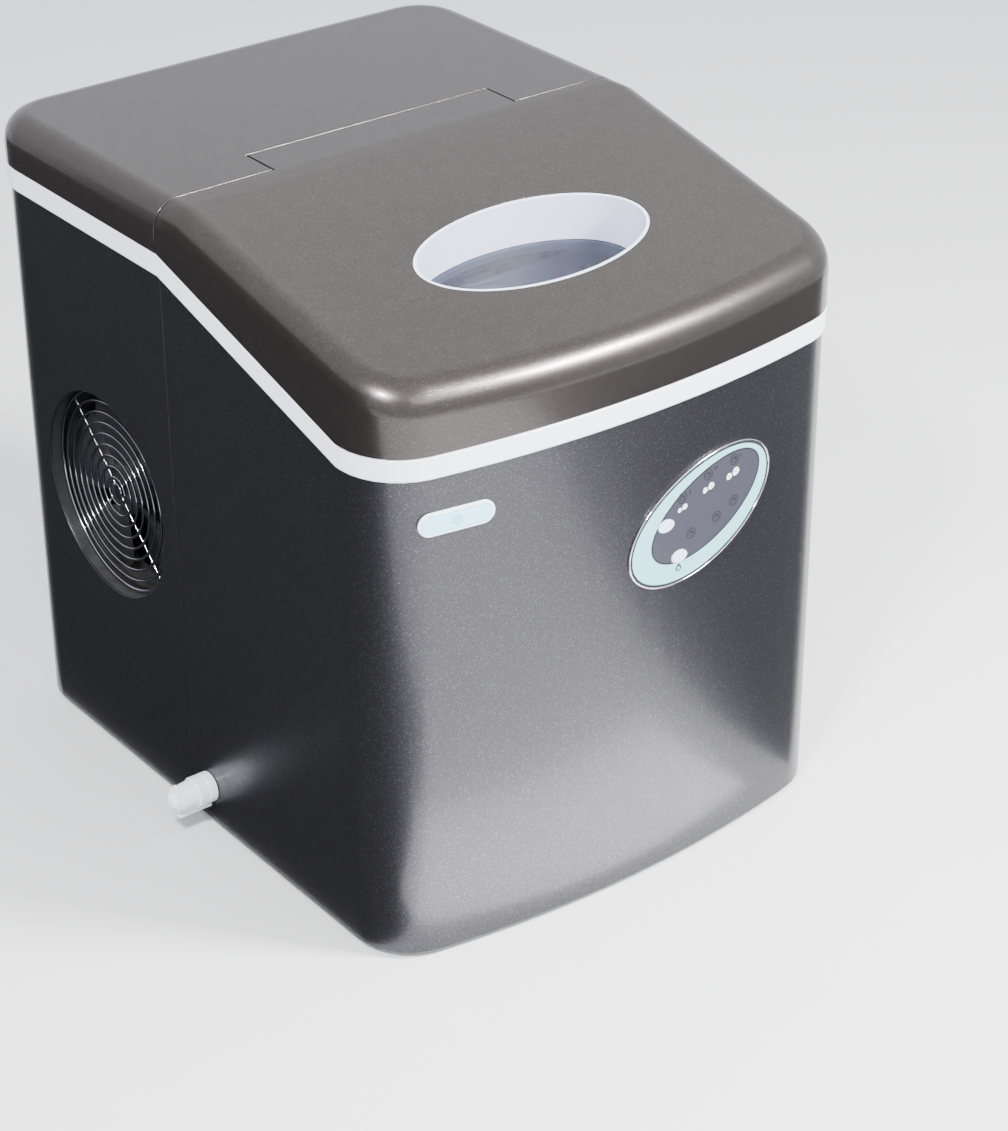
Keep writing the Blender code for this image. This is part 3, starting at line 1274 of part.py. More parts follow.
def control_panel():
    place = (CONTROL_X, 0.0, CONTROL_Z)
    low = FRONT_Y - 0.02
    high = FRONT_Y + 0.03
    bezel = slab("control_bezel", [control_ellipse(0.0), control_ellipse(BEZEL_WIDTH)], low, high, "Y",
                 place, "chrome")
    trim(bezel, skin_layer("bezel_layer", PANEL_OUT + FIT, BEZEL_OUT))
    overlay = slab("control_overlay", [control_ellipse(BEZEL_WIDTH + FIT)], low, high, "Y", place,
                   "mint_plastic")
    trim(overlay, skin_layer("overlay_layer", PANEL_OUT + FIT, OVERLAY_OUT))
    room = BUTTON_GAP
    for name, (x, z) in (("select_hole", SELECT_AT), ("power_hole", POWER_AT)):
        cut(overlay, slab(name, [ellipse(BUTTON_LONG + room, BUTTON_SHORT + room, steps=24)], low, high,
                          "Y", (x, 0.0, z)))
    board = FRONT_Y + BOARD_BACK
    wide, tall = BOARD_SIZE
    block("control_board", (CONTROL_X - wide / 2, board, CONTROL_Z - tall / 2),
          (CONTROL_X + wide / 2, board + 0.0016, CONTROL_Z + tall / 2), "circuit_green")
    button("select_button", SELECT_AT, SELECT)
    button("power_button", POWER_AT, POWER)


def button(name, at, pivot):
    """Oval key with a flange behind the overlay that keeps it in."""
    x, z = at
    face = front_y(x, BUTTON_OUT)
    back = FRONT_Y + BOARD_BACK - BUTTON_TRAVEL - 2 * BUTTON_GAP
    key = slab(name, [ellipse(BUTTON_LONG, BUTTON_SHORT, steps=24)], face, back, "Y", (x, 0.0, z),
               "white_plastic", pivot)
    behind = front_y(x, PANEL_OUT) + 2 * BUTTON_GAP
    flange = slab(name + "_flange", [ellipse(BUTTON_LONG + 0.0015, BUTTON_SHORT + 0.0015, steps=24)],
                  behind,
                  behind + 0.001, "Y", (x, 0.0, z))
    return join(key, flange)


def main_board():
    low = BULKHEAD_Y + BULKHEAD_THICK + BOARD_OFF
    board = block("main_board", (0.0, low, 0.200), (0.110, low + 0.0016, 0.300), "circuit_green")
    parts = boxes("board_parts", [((0.012, low + 0.001, 0.212), (0.044, low + 0.020, 0.240)),
                                  ((0.060, low + 0.001, 0.214), (0.078, low + 0.014, 0.230)),
                                  ((0.020, low + 0.001, 0.260), (0.095, low + 0.009, 0.275))])
    return join(board, parts)


def power_inlet():
    x, z = INLET_AT
    wide, high = INLET_BODY
    rear = REAR_Y + PANEL_OUT
    flange = block("power_inlet", (x - wide / 2 - 0.005, rear + FIT, z - high / 2 - 0.005),
                   (x + wide / 2 + 0.005, rear + INLET_FLANGE, z + high / 2 + 0.005), "black_plastic")
    join(flange, boxes("inlet_body", [((x - wide / 2, rear - 0.022, z - high / 2),
                                       (x + wide / 2, rear + 0.0008, z + high / 2))]))
    cut(flange, boxes("inlet_recess", [((x - wide / 2 + 0.003, rear - 0.018, z - high / 2 + 0.003),
                                        (x + wide / 2 - 0.003, rear + 0.02, z + high / 2 - 0.003))]))
    pins = []
    for side, up in ((-1, 0.0), (0, 0.002), (1, 0.0)):
        middle = x + side * 0.007
        pins.append(((middle - 0.001, rear - 0.0185, z + up - 0.002),
                     (middle + 0.001, rear - 0.004, z + up + 0.002)))
    return join(flange, boxes("inlet_pins", pins))


clear_scene()
PARTS = make_collection("Ice maker")
CUTTERS = make_collection("Cutters")
BODY = make_empty("body_middle", (BODY_X, 0.0, 0.0))
LID = make_empty("lid_pivot", (0.0, HINGE_Y, HINGE_Z), BODY)
TRAY = make_empty("tray_pivot", (0.0, TRAY_Y, TRAY_Z), BODY)
SHOVEL = make_empty("shovel_pivot", (0.0, TRAY_Y - SHOVEL_AHEAD, TRAY_Z + SHOVEL_Z), BODY)
FAN = make_empty("fan_pivot", (FAN_BACK_X, FAN_Y, FAN_Z), BODY)
TAP = make_empty("tap_pivot", (-SIDE_X, DRAIN_Y, DRAIN_Z), BODY)
BASKET = make_empty("basket_guide", (0.0, BASKET_Y + BASKET_LENGTH / 2, BASKET_Z), BODY)
SELECT = make_empty("select_guide", (SELECT_AT[0], FRONT_Y, SELECT_AT[1]), BODY)
POWER = make_empty("power_guide", (POWER_AT[0], FRONT_Y, POWER_AT[1]), BODY)

base_pan()
feet()
front_panel()
rear_panel()
trim_band()
rear_top_cover()
hinge_pins()
name_badge()
rear_screws()
lid_shell()
lid_liner()
lid_window()
lid_gasket()
inner_tub()
tub_floor()
tub_deck()
foam_jacket()
bulkhead()
ice_basket()
basket_floor()
ice_sensors()
evaporator()
evaporator_bracket()
water_tray()
tray_motor()
ice_shovel()
fan_shroud()
fan_guard()
fan_blade()
fan_motor()
condenser()
compressor()
compressor_mount()
refrigerant_tubes()
water_pump()
hoses()
drain_tap()
control_panel()
main_board()
power_inlet()
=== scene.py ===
"""Countertop ice maker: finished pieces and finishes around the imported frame."""

import json
import math

import bmesh
import bpy
from mathutils import Matrix, Quaternion, Vector


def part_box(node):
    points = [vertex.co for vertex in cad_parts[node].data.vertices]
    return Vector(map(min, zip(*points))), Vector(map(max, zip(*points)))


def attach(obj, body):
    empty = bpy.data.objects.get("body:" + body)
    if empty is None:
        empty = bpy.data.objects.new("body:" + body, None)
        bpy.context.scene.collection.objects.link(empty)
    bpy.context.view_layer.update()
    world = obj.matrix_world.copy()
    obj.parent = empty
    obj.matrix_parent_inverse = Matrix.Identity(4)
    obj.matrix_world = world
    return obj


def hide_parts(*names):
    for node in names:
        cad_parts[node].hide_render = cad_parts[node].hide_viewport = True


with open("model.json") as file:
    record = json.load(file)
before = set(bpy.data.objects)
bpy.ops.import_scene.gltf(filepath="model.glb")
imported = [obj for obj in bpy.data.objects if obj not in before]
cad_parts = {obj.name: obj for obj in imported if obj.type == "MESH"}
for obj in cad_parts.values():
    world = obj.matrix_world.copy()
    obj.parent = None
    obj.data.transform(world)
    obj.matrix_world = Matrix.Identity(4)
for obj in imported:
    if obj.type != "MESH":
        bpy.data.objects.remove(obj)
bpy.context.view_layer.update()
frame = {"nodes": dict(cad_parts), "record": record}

RECORD = frame["record"]
BODY_OF = {node: body for body, nodes in RECORD["behaviour"]["bodies"].items() for node in nodes}
PIVOT = {joint["name"]: Vector(joint["pos_m"]) for joint in RECORD["behaviour"]["joints"] if "pos_m" in joint}

# sizes of the finished pieces, in metres
MIDDLE_X = PIVOT["lid_hinge"].x
SHARP = math.radians(32.0)     # corners sharper than this are rounded over
BOW_RADIUS = 0.794             # outer face of the front panel, seen from above
CONTROL_LONG = 0.0621
CONTROL_SHORT = 0.0373
CONTROL_TILT = math.radians(20.5)
BEZEL_WIDTH = 0.0013
LINE_WIDTH = 0.0013
WINDOW_LONG = 0.0488           # grey field on the control plate
WINDOW_SHORT = 0.0255
WINDOW_TILT = math.radians(23.5)
WINDOW_SHIFT = (0.0040, 0.0042)
PRINT_THICK = 0.00012
BUTTON_ROOM = 0.0005
BUTTON_FLANGE = 0.0015
LAMP_RADIUS = 0.0037
BADGE_RIM = 0.0016
BADGE_FACE = 0.0017            # its field, out from the panel
FLAKE_ARM = 0.0038             # snowflake on the badge
FLAKE_TWIG = 0.0013
GUARD_RINGS = 8
GUARD_FIRST = 0.0097
GUARD_PITCH = 0.0075
GUARD_WIRE = 0.0009
GUARD_SPOKES = 4
GUARD_HUB = 0.0062
FAN_HUB = 0.018
FAN_TIP = 0.0615
FAN_BLADES = 5
FAN_STEPS = 40
BLADE_GRID = 10                # faces along and across a blade
BLADE_SPAN = (42.0, 16.0)      # degrees at the hub, and more at the tip
BLADE_PITCH = (0.0058, -0.0016)
BLADE_SWEEP = math.radians(10.0)
BLADE_CAMBER = 0.0022
BLADE_THICK = (0.0004, 0.0013)  # at its edges, and more in the middle
FIN_PITCH = 0.0022
FIN_THICK = 0.00022
FIN_HEIGHT = 0.138
CORE_HEIGHT = 0.140
PIPE_ROWS = 6

# print on the control plate: how far it stands out, and its marks as (x from the middle, z, ...)
PLATE_FACE = 0.001
PRINT_SINK = 0.0001            # bedded into what it lies on
FIELD_RISE = 0.0002
FIELD_EDGE = 0.0009
LINE_THICK = 0.0005            # drawn lines
MARK_LEAN = math.radians(20.0)
POWER_MARK = (0.0021, 0.0015)  # ring, outer and inner
POWER_DROP = 0.0026            # below its button
LAMPS = ((0.0765, 0.2808), (0.0537, 0.2784), (0.0322, 0.2700),
         (0.0771, 0.2521), (0.0621, 0.2464), (0.0403, 0.2427))
CUBES = ((0.0754, 0.2712, 0.0050), (0.0542, 0.2690, 0.0043), (0.0325, 0.2626, 0.0035))
LETTERS = ((0.0822, 0.2828, "L"), (0.0600, 0.2806, "M"), (0.0385, 0.2722, "S"))
LETTER_SIZE = 0.0026
STROKES = {
    "L": (((-0.3, 0.5), (-0.3, -0.5)), ((-0.3, -0.5), (0.3, -0.5))),
    "M": (((-0.45, -0.5), (-0.45, 0.5)), ((-0.45, 0.5), (0.0, -0.1)), ((0.0, -0.1), (0.45, 0.5)),
          ((0.45, 0.5), (0.45, -0.5))),
    "S": (((0.3, 0.45), (-0.2, 0.5)), ((-0.2, 0.5), (-0.3, 0.15)), ((-0.3, 0.15), (0.3, -0.15)),
          ((0.3, -0.15), (0.2, -0.5)), ((0.2, -0.5), (-0.3, -0.45))),
}
CUBE_FACES = (
    ((-0.45, 0.32), (0.0, 0.56), (0.45, 0.32), (0.0, 0.08)),
    ((-0.50, 0.26), (-0.05, 0.02), (-0.05, -0.50), (-0.50, -0.26)),
    ((0.50, 0.26), (0.05, 0.02), (0.05, -0.50), (0.50, -0.26)),
)
CUBE_PAIR = ((-0.62, -0.16, 0.9), (0.56, 0.16, 1.1))


# --------------------------------------------------------------------------
# Node helpers
# --------------------------------------------------------------------------

def add(tree, kind, feeds=None, **settings):
    """Add a node, set its settings, and give its inputs a value or a link. A node given as a value
    stands for its first output."""
    node = tree.nodes.new(kind)
    for key, value in settings.items():
        setattr(node, key, value)
    for key, value in (feeds or {}).items():
        if isinstance(value, bpy.types.Node):
            value = value.outputs[0]
        if isinstance(value, bpy.types.NodeSocket):
            tree.links.new(value, node.inputs[key])
        else:
            node.inputs[key].default_value = value
    return node


def new_group(name, kind, inputs, outputs):
    """A node tree with named sockets. Returns the tree, what it is given and what it sends out."""
    tree = bpy.data.node_groups.new(name, kind)
    for title, socket, value in inputs:
        made = tree.interface.new_socket(name=title, in_out="INPUT", socket_type="NodeSocket" + socket)
        if value is not None:
            made.default_value = value
    for title, socket in outputs:
        tree.interface.new_socket(name=title, in_out="OUTPUT", socket_type="NodeSocket" + socket)
    return tree, tree.nodes.new("NodeGroupInput").outputs, tree.nodes.new("NodeGroupOutput").inputs


def maths(tree, operation, first, second=0.0, third=0.0):
    return add(tree, "ShaderNodeMath", {0: first, 1: second, 2: third}, operation=operation).outputs[0]


def blend(tree, factor, first, second):
    """Mix two colours."""
    return add(tree, "ShaderNodeMix", {0: factor, 6: first, 7: second}, data_type="RGBA").outputs[2]


def spread(tree, value, low, high, out_low, out_high):
    return add(tree, "ShaderNodeMapRange", {0: value, 1: low, 2: high, 3: out_low, 4: out_high}).outputs[0]


def noise(tree, place, scale, more=None):
    """Noise of that scale. more may hold its detail (3), roughness (4) and distortion (8)."""
    return add(tree, "ShaderNodeTexNoise", {0: place, 2: scale, **(more or {})})


def retoned(tree, value, colour):
    """The colour with its brightness times value."""
    return add(tree, "ShaderNodeHueSaturation", {2: value, 4: colour}).outputs[0]


# --------------------------------------------------------------------------
# Effects that the finishes share
# --------------------------------------------------------------------------

def effect_group(name, inputs, outputs):
    return new_group(name, "ShaderNodeTree", [("Vector", "Vector", None), *inputs], outputs)


def flake_effect():
    """Fine bright flakes in metallic paint."""
    tree, given, out = effect_group("metal_flake", [
        ("Color", "Color", None), ("Flakes Per Metre", "Float", 1600.0), ("Sparkle", "Float", 0.3),
        ("Tone", "Float", 0.1)], [("Color", "Color"), ("Height", "Float")])
    cells = add(tree, "ShaderNodeTexVoronoi", {0: given["Vector"], 2: given["Flakes Per Metre"]})
    parts = add(tree, "ShaderNodeSeparateColor", {0: cells.outputs["Color"]}).outputs
    swing = maths(tree, "MULTIPLY_ADD", parts[0], given["Tone"],
                  maths(tree, "MULTIPLY_ADD", given["Tone"], -0.5, 1.0))
    toned = retoned(tree, swing, given["Color"])
    bright = maths(tree, "MULTIPLY", spread(tree, parts[1], 0.9, 1.0, 0.0, 1.0), given["Sparkle"])
    tree.links.new(blend(tree, bright, toned, (0.9, 0.9, 0.92, 1.0)), out["Color"])
    tree.links.new(parts[2], out["Height"])
    return tree


def tone_effect():
    """Slow drift of tone across a surface."""
    tree, given, out = effect_group("tone_drift", [
        ("Color", "Color", None), ("Patches Per Metre", "Float", 12.0), ("Amount", "Float", 0.05)],
        [("Color", "Color")])
    drift = noise(tree, given["Vector"], given["Patches Per Metre"], {3: 3.0})
    value = maths(tree, "MULTIPLY_ADD", maths(tree, "SUBTRACT", drift, 0.5), given["Amount"], 1.0)
    tree.links.new(retoned(tree, value, given["Color"]), out["Color"])
    return tree


def handling_effect():
    """Roughness with faint wipe marks and finger grease."""
    tree, given, out = effect_group("handling_marks", [
        ("Roughness", "Float", 0.4), ("Marks Per Metre", "Float", 25.0), ("Amount", "Float", 0.08)],
        [("Roughness", "Float")])
    stretched = add(tree, "ShaderNodeMapping", {0: given["Vector"], 3: (1.0, 0.6, 0.35)})
    wipes = noise(tree, stretched, given["Marks Per Metre"], {3: 5.0, 4: 0.62, 8: 0.6})
    swing = maths(tree, "SUBTRACT", wipes, 0.5)
    rough = maths(tree, "MULTIPLY_ADD", swing, given["Amount"], given["Roughness"])
    tree.links.new(rough, out["Roughness"])
    return tree


def grain_effect():
    """Height of a fine moulded or sprayed grain."""
    tree, given, out = effect_group("fine_grain", [
        ("Grains Per Metre", "Float", 1200.0), ("Evenness", "Float", 0.5)], [("Height", "Float")])
    fine = noise(tree, given["Vector"], given["Grains Per Metre"], {3: 2.0})
    soft = noise(tree, given["Vector"], maths(tree, "MULTIPLY", given["Grains Per Metre"], 0.11))
    mixed = add(tree, "ShaderNodeMix", {0: given["Evenness"], 2: soft, 3: fine})
    tree.links.new(mixed.outputs[0], out["Height"])
    return tree


def dust_effect():
    """A thin veil of dust on what faces up."""
    tree, given, out = effect_group("settled_dust", [
        ("Color", "Color", None), ("Dust Color", "Color", (0.62, 0.6, 0.56, 1.0)),
        ("Amount", "Float", 0.05)], [("Color", "Color")])
    facing = add(tree, "ShaderNodeSeparateXYZ", {0: add(tree, "ShaderNodeNewGeometry").outputs["Normal"]})
    upward = spread(tree, facing.outputs[2], 0.2, 1.0, 0.0, 1.0)
    patchy = spread(tree, noise(tree, given["Vector"], 90.0, {3: 6.0, 4: 0.7}), 0.35, 0.75, 0.2, 1.0)
    mask = maths(tree, "MULTIPLY", maths(tree, "MULTIPLY", upward, patchy), given["Amount"])
    tree.links.new(blend(tree, mask, given["Color"], given["Dust Color"]), out["Color"])
    return tree


def spangle_effect():
    """Crystal patches of zinc on galvanised sheet."""
    tree, given, out = effect_group("zinc_spangle", [
        ("Color", "Color", None), ("Crystals Per Metre", "Float", 160.0), ("Amount", "Float", 0.25)],
        [("Color", "Color"), ("Height", "Float")])
    warp = noise(tree, given["Vector"], 120.0, {3: 2.0}).outputs["Color"]
    shifted = add(tree, "ShaderNodeVectorMath", {0: warp, 1: (0.006, 0.006, 0.006), 2: given["Vector"]},
                  operation="MULTIPLY_ADD")
    cells = add(tree, "ShaderNodeTexVoronoi", {0: shifted, 2: given["Crystals Per Metre"]})
    value = add(tree, "ShaderNodeSeparateColor", {0: cells.outputs["Color"]}).outputs[0]
    swing = maths(tree, "MULTIPLY_ADD", maths(tree, "SUBTRACT", value, 0.5), given["Amount"], 1.0)
    tree.links.new(retoned(tree, swing, given["Color"]), out["Color"])
    tree.links.new(value, out["Height"])
    return tree


FLAKE = flake_effect()
TONE = tone_effect()
HANDLING = handling_effect()
GRAIN = grain_effect()
DUST = dust_effect()
SPANGLE = spangle_effect()


def finish(name, colour, roughness, metallic=0.0, coat=0.0, coat_rough=0.1, tone=0.06, patches=12.0,
           marks=0.06, flake=None, spangle=None, grain=None, dust=0.04, specular=0.5, transmission=0.0,
           subsurface=0.0, ior=1.5):
    """A finish built from the shared effects. flake is (flakes per metre, sparkle, tone, relief),
    spangle (crystals per metre, amount, relief), grain (grains per metre, evenness, relief)."""
    material = bpy.data.materials.new(name)
    material.use_nodes = True
    tree = material.node_tree
    shader = tree.nodes["Principled BSDF"]
    place = add(tree, "ShaderNodeTexCoord").outputs["Object"]

    def effect(group, feeds):
        return add(tree, "ShaderNodeGroup", {"Vector": place, **feeds}, node_tree=group).outputs

    tint = effect(TONE, {"Color": (*colour, 1.0), "Patches Per Metre": patches, "Amount": tone})["Color"]
    height = None
    if flake:
        made = effect(FLAKE, {"Color": tint, "Flakes Per Metre": flake[0], "Sparkle": flake[1],
                              "Tone": flake[2]})
        tint, height, relief = made["Color"], made["Height"], flake[3]
    if spangle:
        made = effect(SPANGLE, {"Color": tint, "Crystals Per Metre": spangle[0], "Amount": spangle[1]})
        tint, height, relief = made["Color"], made["Height"], spangle[2]
    if grain:
        made = effect(GRAIN, {"Grains Per Metre": grain[0], "Evenness": grain[1]})
        height, relief = made["Height"], grain[2]
    if dust:
        tint = effect(DUST, {"Color": tint, "Amount": dust})["Color"]
    rough = effect(HANDLING, {"Roughness": roughness, "Amount": marks})["Roughness"]
    tree.links.new(tint, shader.inputs["Base Color"])
    tree.links.new(rough, shader.inputs["Roughness"])
    if height is not None:
        bump = add(tree, "ShaderNodeBump", {0: 1.0, 1: relief, 3: height})
        tree.links.new(bump.outputs[0], shader.inputs["Normal"])
    for title, value in (("Metallic", metallic), ("Coat Weight", coat), ("Coat Roughness", coat_rough),
                         ("Specular IOR Level", specular), ("Transmission Weight", transmission),
                         ("Subsurface Weight", subsurface), ("IOR", ior)):
        shader.inputs[title].default_value = value
    if subsurface:
        shader.inputs["Subsurface Scale"].default_value = 0.004
    return material


SATIN_GRAIN = (2200.0, 0.7, 0.000004)
PLATE_GRAIN = (2200.0, 0.7, 0.000005)
PRINT_GRAIN = (2600.0, 0.7, 0.000004)
PIPE_GRAIN = (800.0, 0.4, 0.00001)

LID_PAINT = finish("warm_silver_paint", (0.049, 0.043, 0.040), 0.27, metallic=0.8, coat=0.3,
                   coat_rough=0.12, tone=0.05, flake=(2400.0, 0.08, 0.10, 0.000008), dust=0.02, marks=0.02)
BODY_PAINT = finish("graphite_paint", (0.047, 0.046, 0.052), 0.35, metallic=0.85, coat=0.25,
                    coat_rough=0.16, flake=(2200.0, 0.10, 0.16, 0.00001), dust=0.0)
BAND_PLASTIC = finish("pale_band_plastic", (0.82, 0.84, 0.93), 0.32, coat=0.2, tone=0.03,
                      grain=(1800.0, 0.6, 0.000010), dust=0.03, subsurface=0.12)
WHITE_PLASTIC = finish("white_moulded_plastic", (0.66, 0.70, 0.88), 0.36, tone=0.04,
                       grain=(1500.0, 0.6, 0.000012), dust=0.03, subsurface=0.12)
TAP_PLASTIC = finish("tap_plastic", (0.84, 0.86, 0.92), 0.24, coat=0.3, tone=0.04,
                     grain=(1500.0, 0.5, 0.000010), dust=0.03, subsurface=0.3)
BLACK_PLASTIC = finish("black_moulded_plastic", (0.017, 0.017, 0.019), 0.36, tone=0.1,
                       grain=(1600.0, 0.6, 0.000018), dust=0.06)
MINT_PLASTIC = finish("mint_plate", (0.24, 0.58, 0.63), 0.3, coat=0.4, tone=0.03, grain=PLATE_GRAIN,
                      dust=0.0, marks=0.05)
FIELD_PLASTIC = finish("grey_field", (0.036, 0.036, 0.050), 0.34, coat=0.1, tone=0.05,
                       grain=PLATE_GRAIN, dust=0.0)
DARK_PRINT = finish("dark_print", (0.022, 0.022, 0.027), 0.42, tone=0.04, grain=PRINT_GRAIN, dust=0.0,
                    specular=0.12)
PALE_PRINT = finish("pale_print", (0.86, 0.88, 0.90), 0.42, tone=0.04, grain=PRINT_GRAIN, dust=0.0)
CHROME = finish("bright_chrome", (0.74, 0.75, 0.77), 0.1, metallic=1.0, tone=0.03, marks=0.05,
                grain=(900.0, 0.5, 0.000004), dust=0.0)
WIRE_CHROME = finish("plated_wire", (0.30, 0.31, 0.34), 0.15, metallic=1.0, tone=0.08, patches=60.0,
                     marks=0.08, grain=(900.0, 0.5, 0.000008), dust=0.02)
BADGE_FIELD = finish("badge_field", (0.38, 0.78, 0.96), 0.22, coat=0.5, coat_rough=0.05, tone=0.03,
                     grain=SATIN_GRAIN, dust=0.0)
BADGE_LINE = finish("badge_line", (0.16, 0.52, 0.68), 0.3, coat=0.3, tone=0.03, grain=SATIN_GRAIN, dust=0.0)
BADGE_EDGE = finish("badge_edge", (0.80, 0.90, 0.94), 0.25, coat=0.4, tone=0.03, grain=SATIN_GRAIN,
                    dust=0.0)
GALVANISED = finish("galvanised_sheet", (0.46, 0.47, 0.48), 0.38, metallic=0.9,
                    spangle=(150.0, 0.22, 0.00001), marks=0.1)
FIN_METAL = finish("fin_aluminium", (0.56, 0.57, 0.58), 0.42, metallic=0.9, tone=0.12, patches=40.0,
                   grain=(700.0, 0.5, 0.00001), dust=0.08)
COPPER = finish("copper_pipe", (0.66, 0.31, 0.18), 0.3, metallic=0.95, tone=0.28, patches=55.0, marks=0.16,
                grain=PIPE_GRAIN)
COIL_METAL = finish("plated_evaporator", (0.60, 0.60, 0.59), 0.24, metallic=0.95, tone=0.12, patches=60.0,
                    grain=PIPE_GRAIN, dust=0.0)
GREEN_BOARD = finish("circuit_green", (0.02, 0.13, 0.055), 0.34, coat=0.3, tone=0.2, patches=180.0,
                     grain=(600.0, 0.5, 0.00002), dust=0.05)
FOAM = finish("yellow_foam", (0.70, 0.60, 0.36), 0.85, tone=0.3, patches=80.0,
              grain=(420.0, 0.4, 0.0005), dust=0.02)
RUBBER = finish("black_rubber", (0.028, 0.028, 0.03), 0.68, tone=0.15, grain=(900.0, 0.5, 0.00003), dust=0.1)
SILICONE = finish("grey_silicone", (0.50, 0.52, 0.55), 0.5, grain=(900.0, 0.5, 0.000015), dust=0.02,
                  subsurface=0.2)
BLACK_PAINT = finish("black_enamel", (0.016, 0.016, 0.018), 0.22, metallic=0.2, coat=0.5, tone=0.1,
                     grain=(320.0, 0.4, 0.00005), dust=0.08)
CLEAR_PLASTIC = finish("clear_window", (0.30, 0.32, 0.37), 0.07, tone=0.02, marks=0.04, dust=0.0,
                       transmission=1.0, ior=1.45)


# --------------------------------------------------------------------------
# Piece helpers
# --------------------------------------------------------------------------

def show(name, mesh, material):
    """Put a mesh in the scene as a piece with one finish."""
    mesh.materials.clear()
    mesh.materials.append(material)
    piece = bpy.data.objects.new(name, mesh)
    bpy.context.scene.collection.objects.link(piece)
    return piece


def settle(piece, node, replace=True):
    """Tie a piece to the body of a frame node and, when it replaces that node, hide the node."""
    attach(piece, BODY_OF[node])
    if replace:
        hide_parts(node)
    return piece


def finished(node, material, width=0.0004, segments=2):
    """A clean copy of a frame node: merged, with large flats, rounded edges and its own finish."""
    shape = bmesh.new()
    shape.from_mesh(frame["nodes"][node].data)
    bmesh.ops.remove_doubles(shape, verts=shape.verts, dist=0.000002)
    bmesh.ops.dissolve_limit(shape, angle_limit=math.radians(0.2), verts=shape.verts, edges=shape.edges)
    for face in shape.faces:
        face.smooth = True
    for edge in shape.edges:
        edge.smooth = len(edge.link_faces) == 2 and edge.calc_face_angle(0.0) < SHARP
    mesh = bpy.data.meshes.new(node + "_finished")
    shape.to_mesh(mesh)
    shape.free()
    piece = show(node + "_finished", mesh, material)
    if width:
        edge = piece.modifiers.new("rounded_edges", "BEVEL")
        edge.width = width
        edge.segments = segments
        edge.limit_method = "ANGLE"
        edge.angle_limit = SHARP
        edge.use_clamp_overlap = True
        edge.harden_normals = False
    shade = piece.modifiers.new("flat_faces", "WEIGHTED_NORMAL")
    shade.keep_sharp = True
    return settle(piece, node)


def applied(piece):
    """The piece with its modifiers made part of its mesh."""
    bpy.context.view_layer.update()
    depsgraph = bpy.context.evaluated_depsgraph_get()
    mesh = bpy.data.meshes.new_from_object(piece.evaluated_get(depsgraph))
    piece.modifiers.clear()
    piece.data = mesh
    return piece


def grown(name, tree, sizes, points=None):
    """Run a Geometry Nodes tree on an empty mesh, or on points, and keep its plain mesh."""
    seed = bpy.data.meshes.new(name + "_seed")
    if points:
        seed.from_pydata(points, [], [])
    holder = bpy.data.objects.new(name, seed)
    bpy.context.scene.collection.objects.link(holder)
    maker = holder.modifiers.new(name, "NODES")
    maker.node_group = tree
    for item in tree.interface.items_tree:
        if item.item_type == "SOCKET" and item.in_out == "INPUT" and item.name in sizes:
            maker[item.identifier] = sizes[item.name]
    return applied(holder)


def mesh_from(name, points, faces, smooth=False):
    mesh = bpy.data.meshes.new(name)
    mesh.from_pydata(points, [], faces)
    shape = bmesh.new()
    shape.from_mesh(mesh)
    bmesh.ops.recalc_face_normals(shape, faces=shape.faces)
    for face in shape.faces:
        face.smooth = smooth
    shape.to_mesh(mesh)
    shape.free()
    return mesh


# --------------------------------------------------------------------------
# Trees for what repeats
# --------------------------------------------------------------------------

def shape_group(name, inputs):
    """A tree that grows a shape from those sizes, at a centre, in one material."""
    return new_group(name, "GeometryNodeTree", [*inputs, ("Centre", "Vector", None),
                                                ("Material", "Material", None)], [("Geometry", "Geometry")])


def finish_tree(tree, out, given, geometry, turn, smooth=True):
    """Turn and place the result, give it its material and send it out."""
    placed = add(tree, "GeometryNodeTransform", {"Geometry": geometry, "Translation": given["Centre"],
                                                 "Rotation": turn})
    shaded = add(tree, "GeometryNodeSetShadeSmooth", {"Geometry": real(tree, placed), "Shade Smooth": smooth})
    painted = add(tree, "GeometryNodeSetMaterial", {"Geometry": shaded, "Material": given["Material"]})
    tree.links.new(painted.outputs[0], out[0])


def vector(tree, x=0.0, y=0.0, z=0.0):
    return add(tree, "ShaderNodeCombineXYZ", {0: x, 1: y, 2: z}).outputs[0]


def circle(tree, steps, radius):
    return add(tree, "GeometryNodeCurvePrimitiveCircle", {"Resolution": steps, "Radius": radius})


def line(tree, start, end):
    return add(tree, "GeometryNodeCurvePrimitiveLine", {"Start": start, "End": end})


def ball(tree, steps, rings, radius):
    return add(tree, "GeometryNodeMeshUVSphere", {"Segments": steps, "Rings": rings, "Radius": radius})


def block(tree, size):
    return add(tree, "GeometryNodeMeshCube", {"Size": size})


def moved(tree, geometry, feeds):
    return add(tree, "GeometryNodeTransform", {"Geometry": geometry, **feeds}).outputs[0]


def spots(tree, count):
    return add(tree, "GeometryNodePoints", {"Count": count})


def on_points(tree, points, shape, feeds=None):
    """Copies of a shape, one on each point."""
    return add(tree, "GeometryNodeInstanceOnPoints", {"Points": points, "Instance": shape, **(feeds or {})})


def real(tree, geometry):
    return add(tree, "GeometryNodeRealizeInstances", {0: geometry})


def swept(tree, curve, radius, sides=10):
    """A round wire along a curve."""
    return add(tree, "GeometryNodeCurveToMesh", {
        "Curve": curve, "Profile Curve": circle(tree, sides, radius), "Fill Caps": True}).outputs[0]


def joined(tree, *geometry):
    node = tree.nodes.new("GeometryNodeJoinGeometry")
    for socket in geometry:
        tree.links.new(socket, node.inputs[0])
    return node.outputs[0]


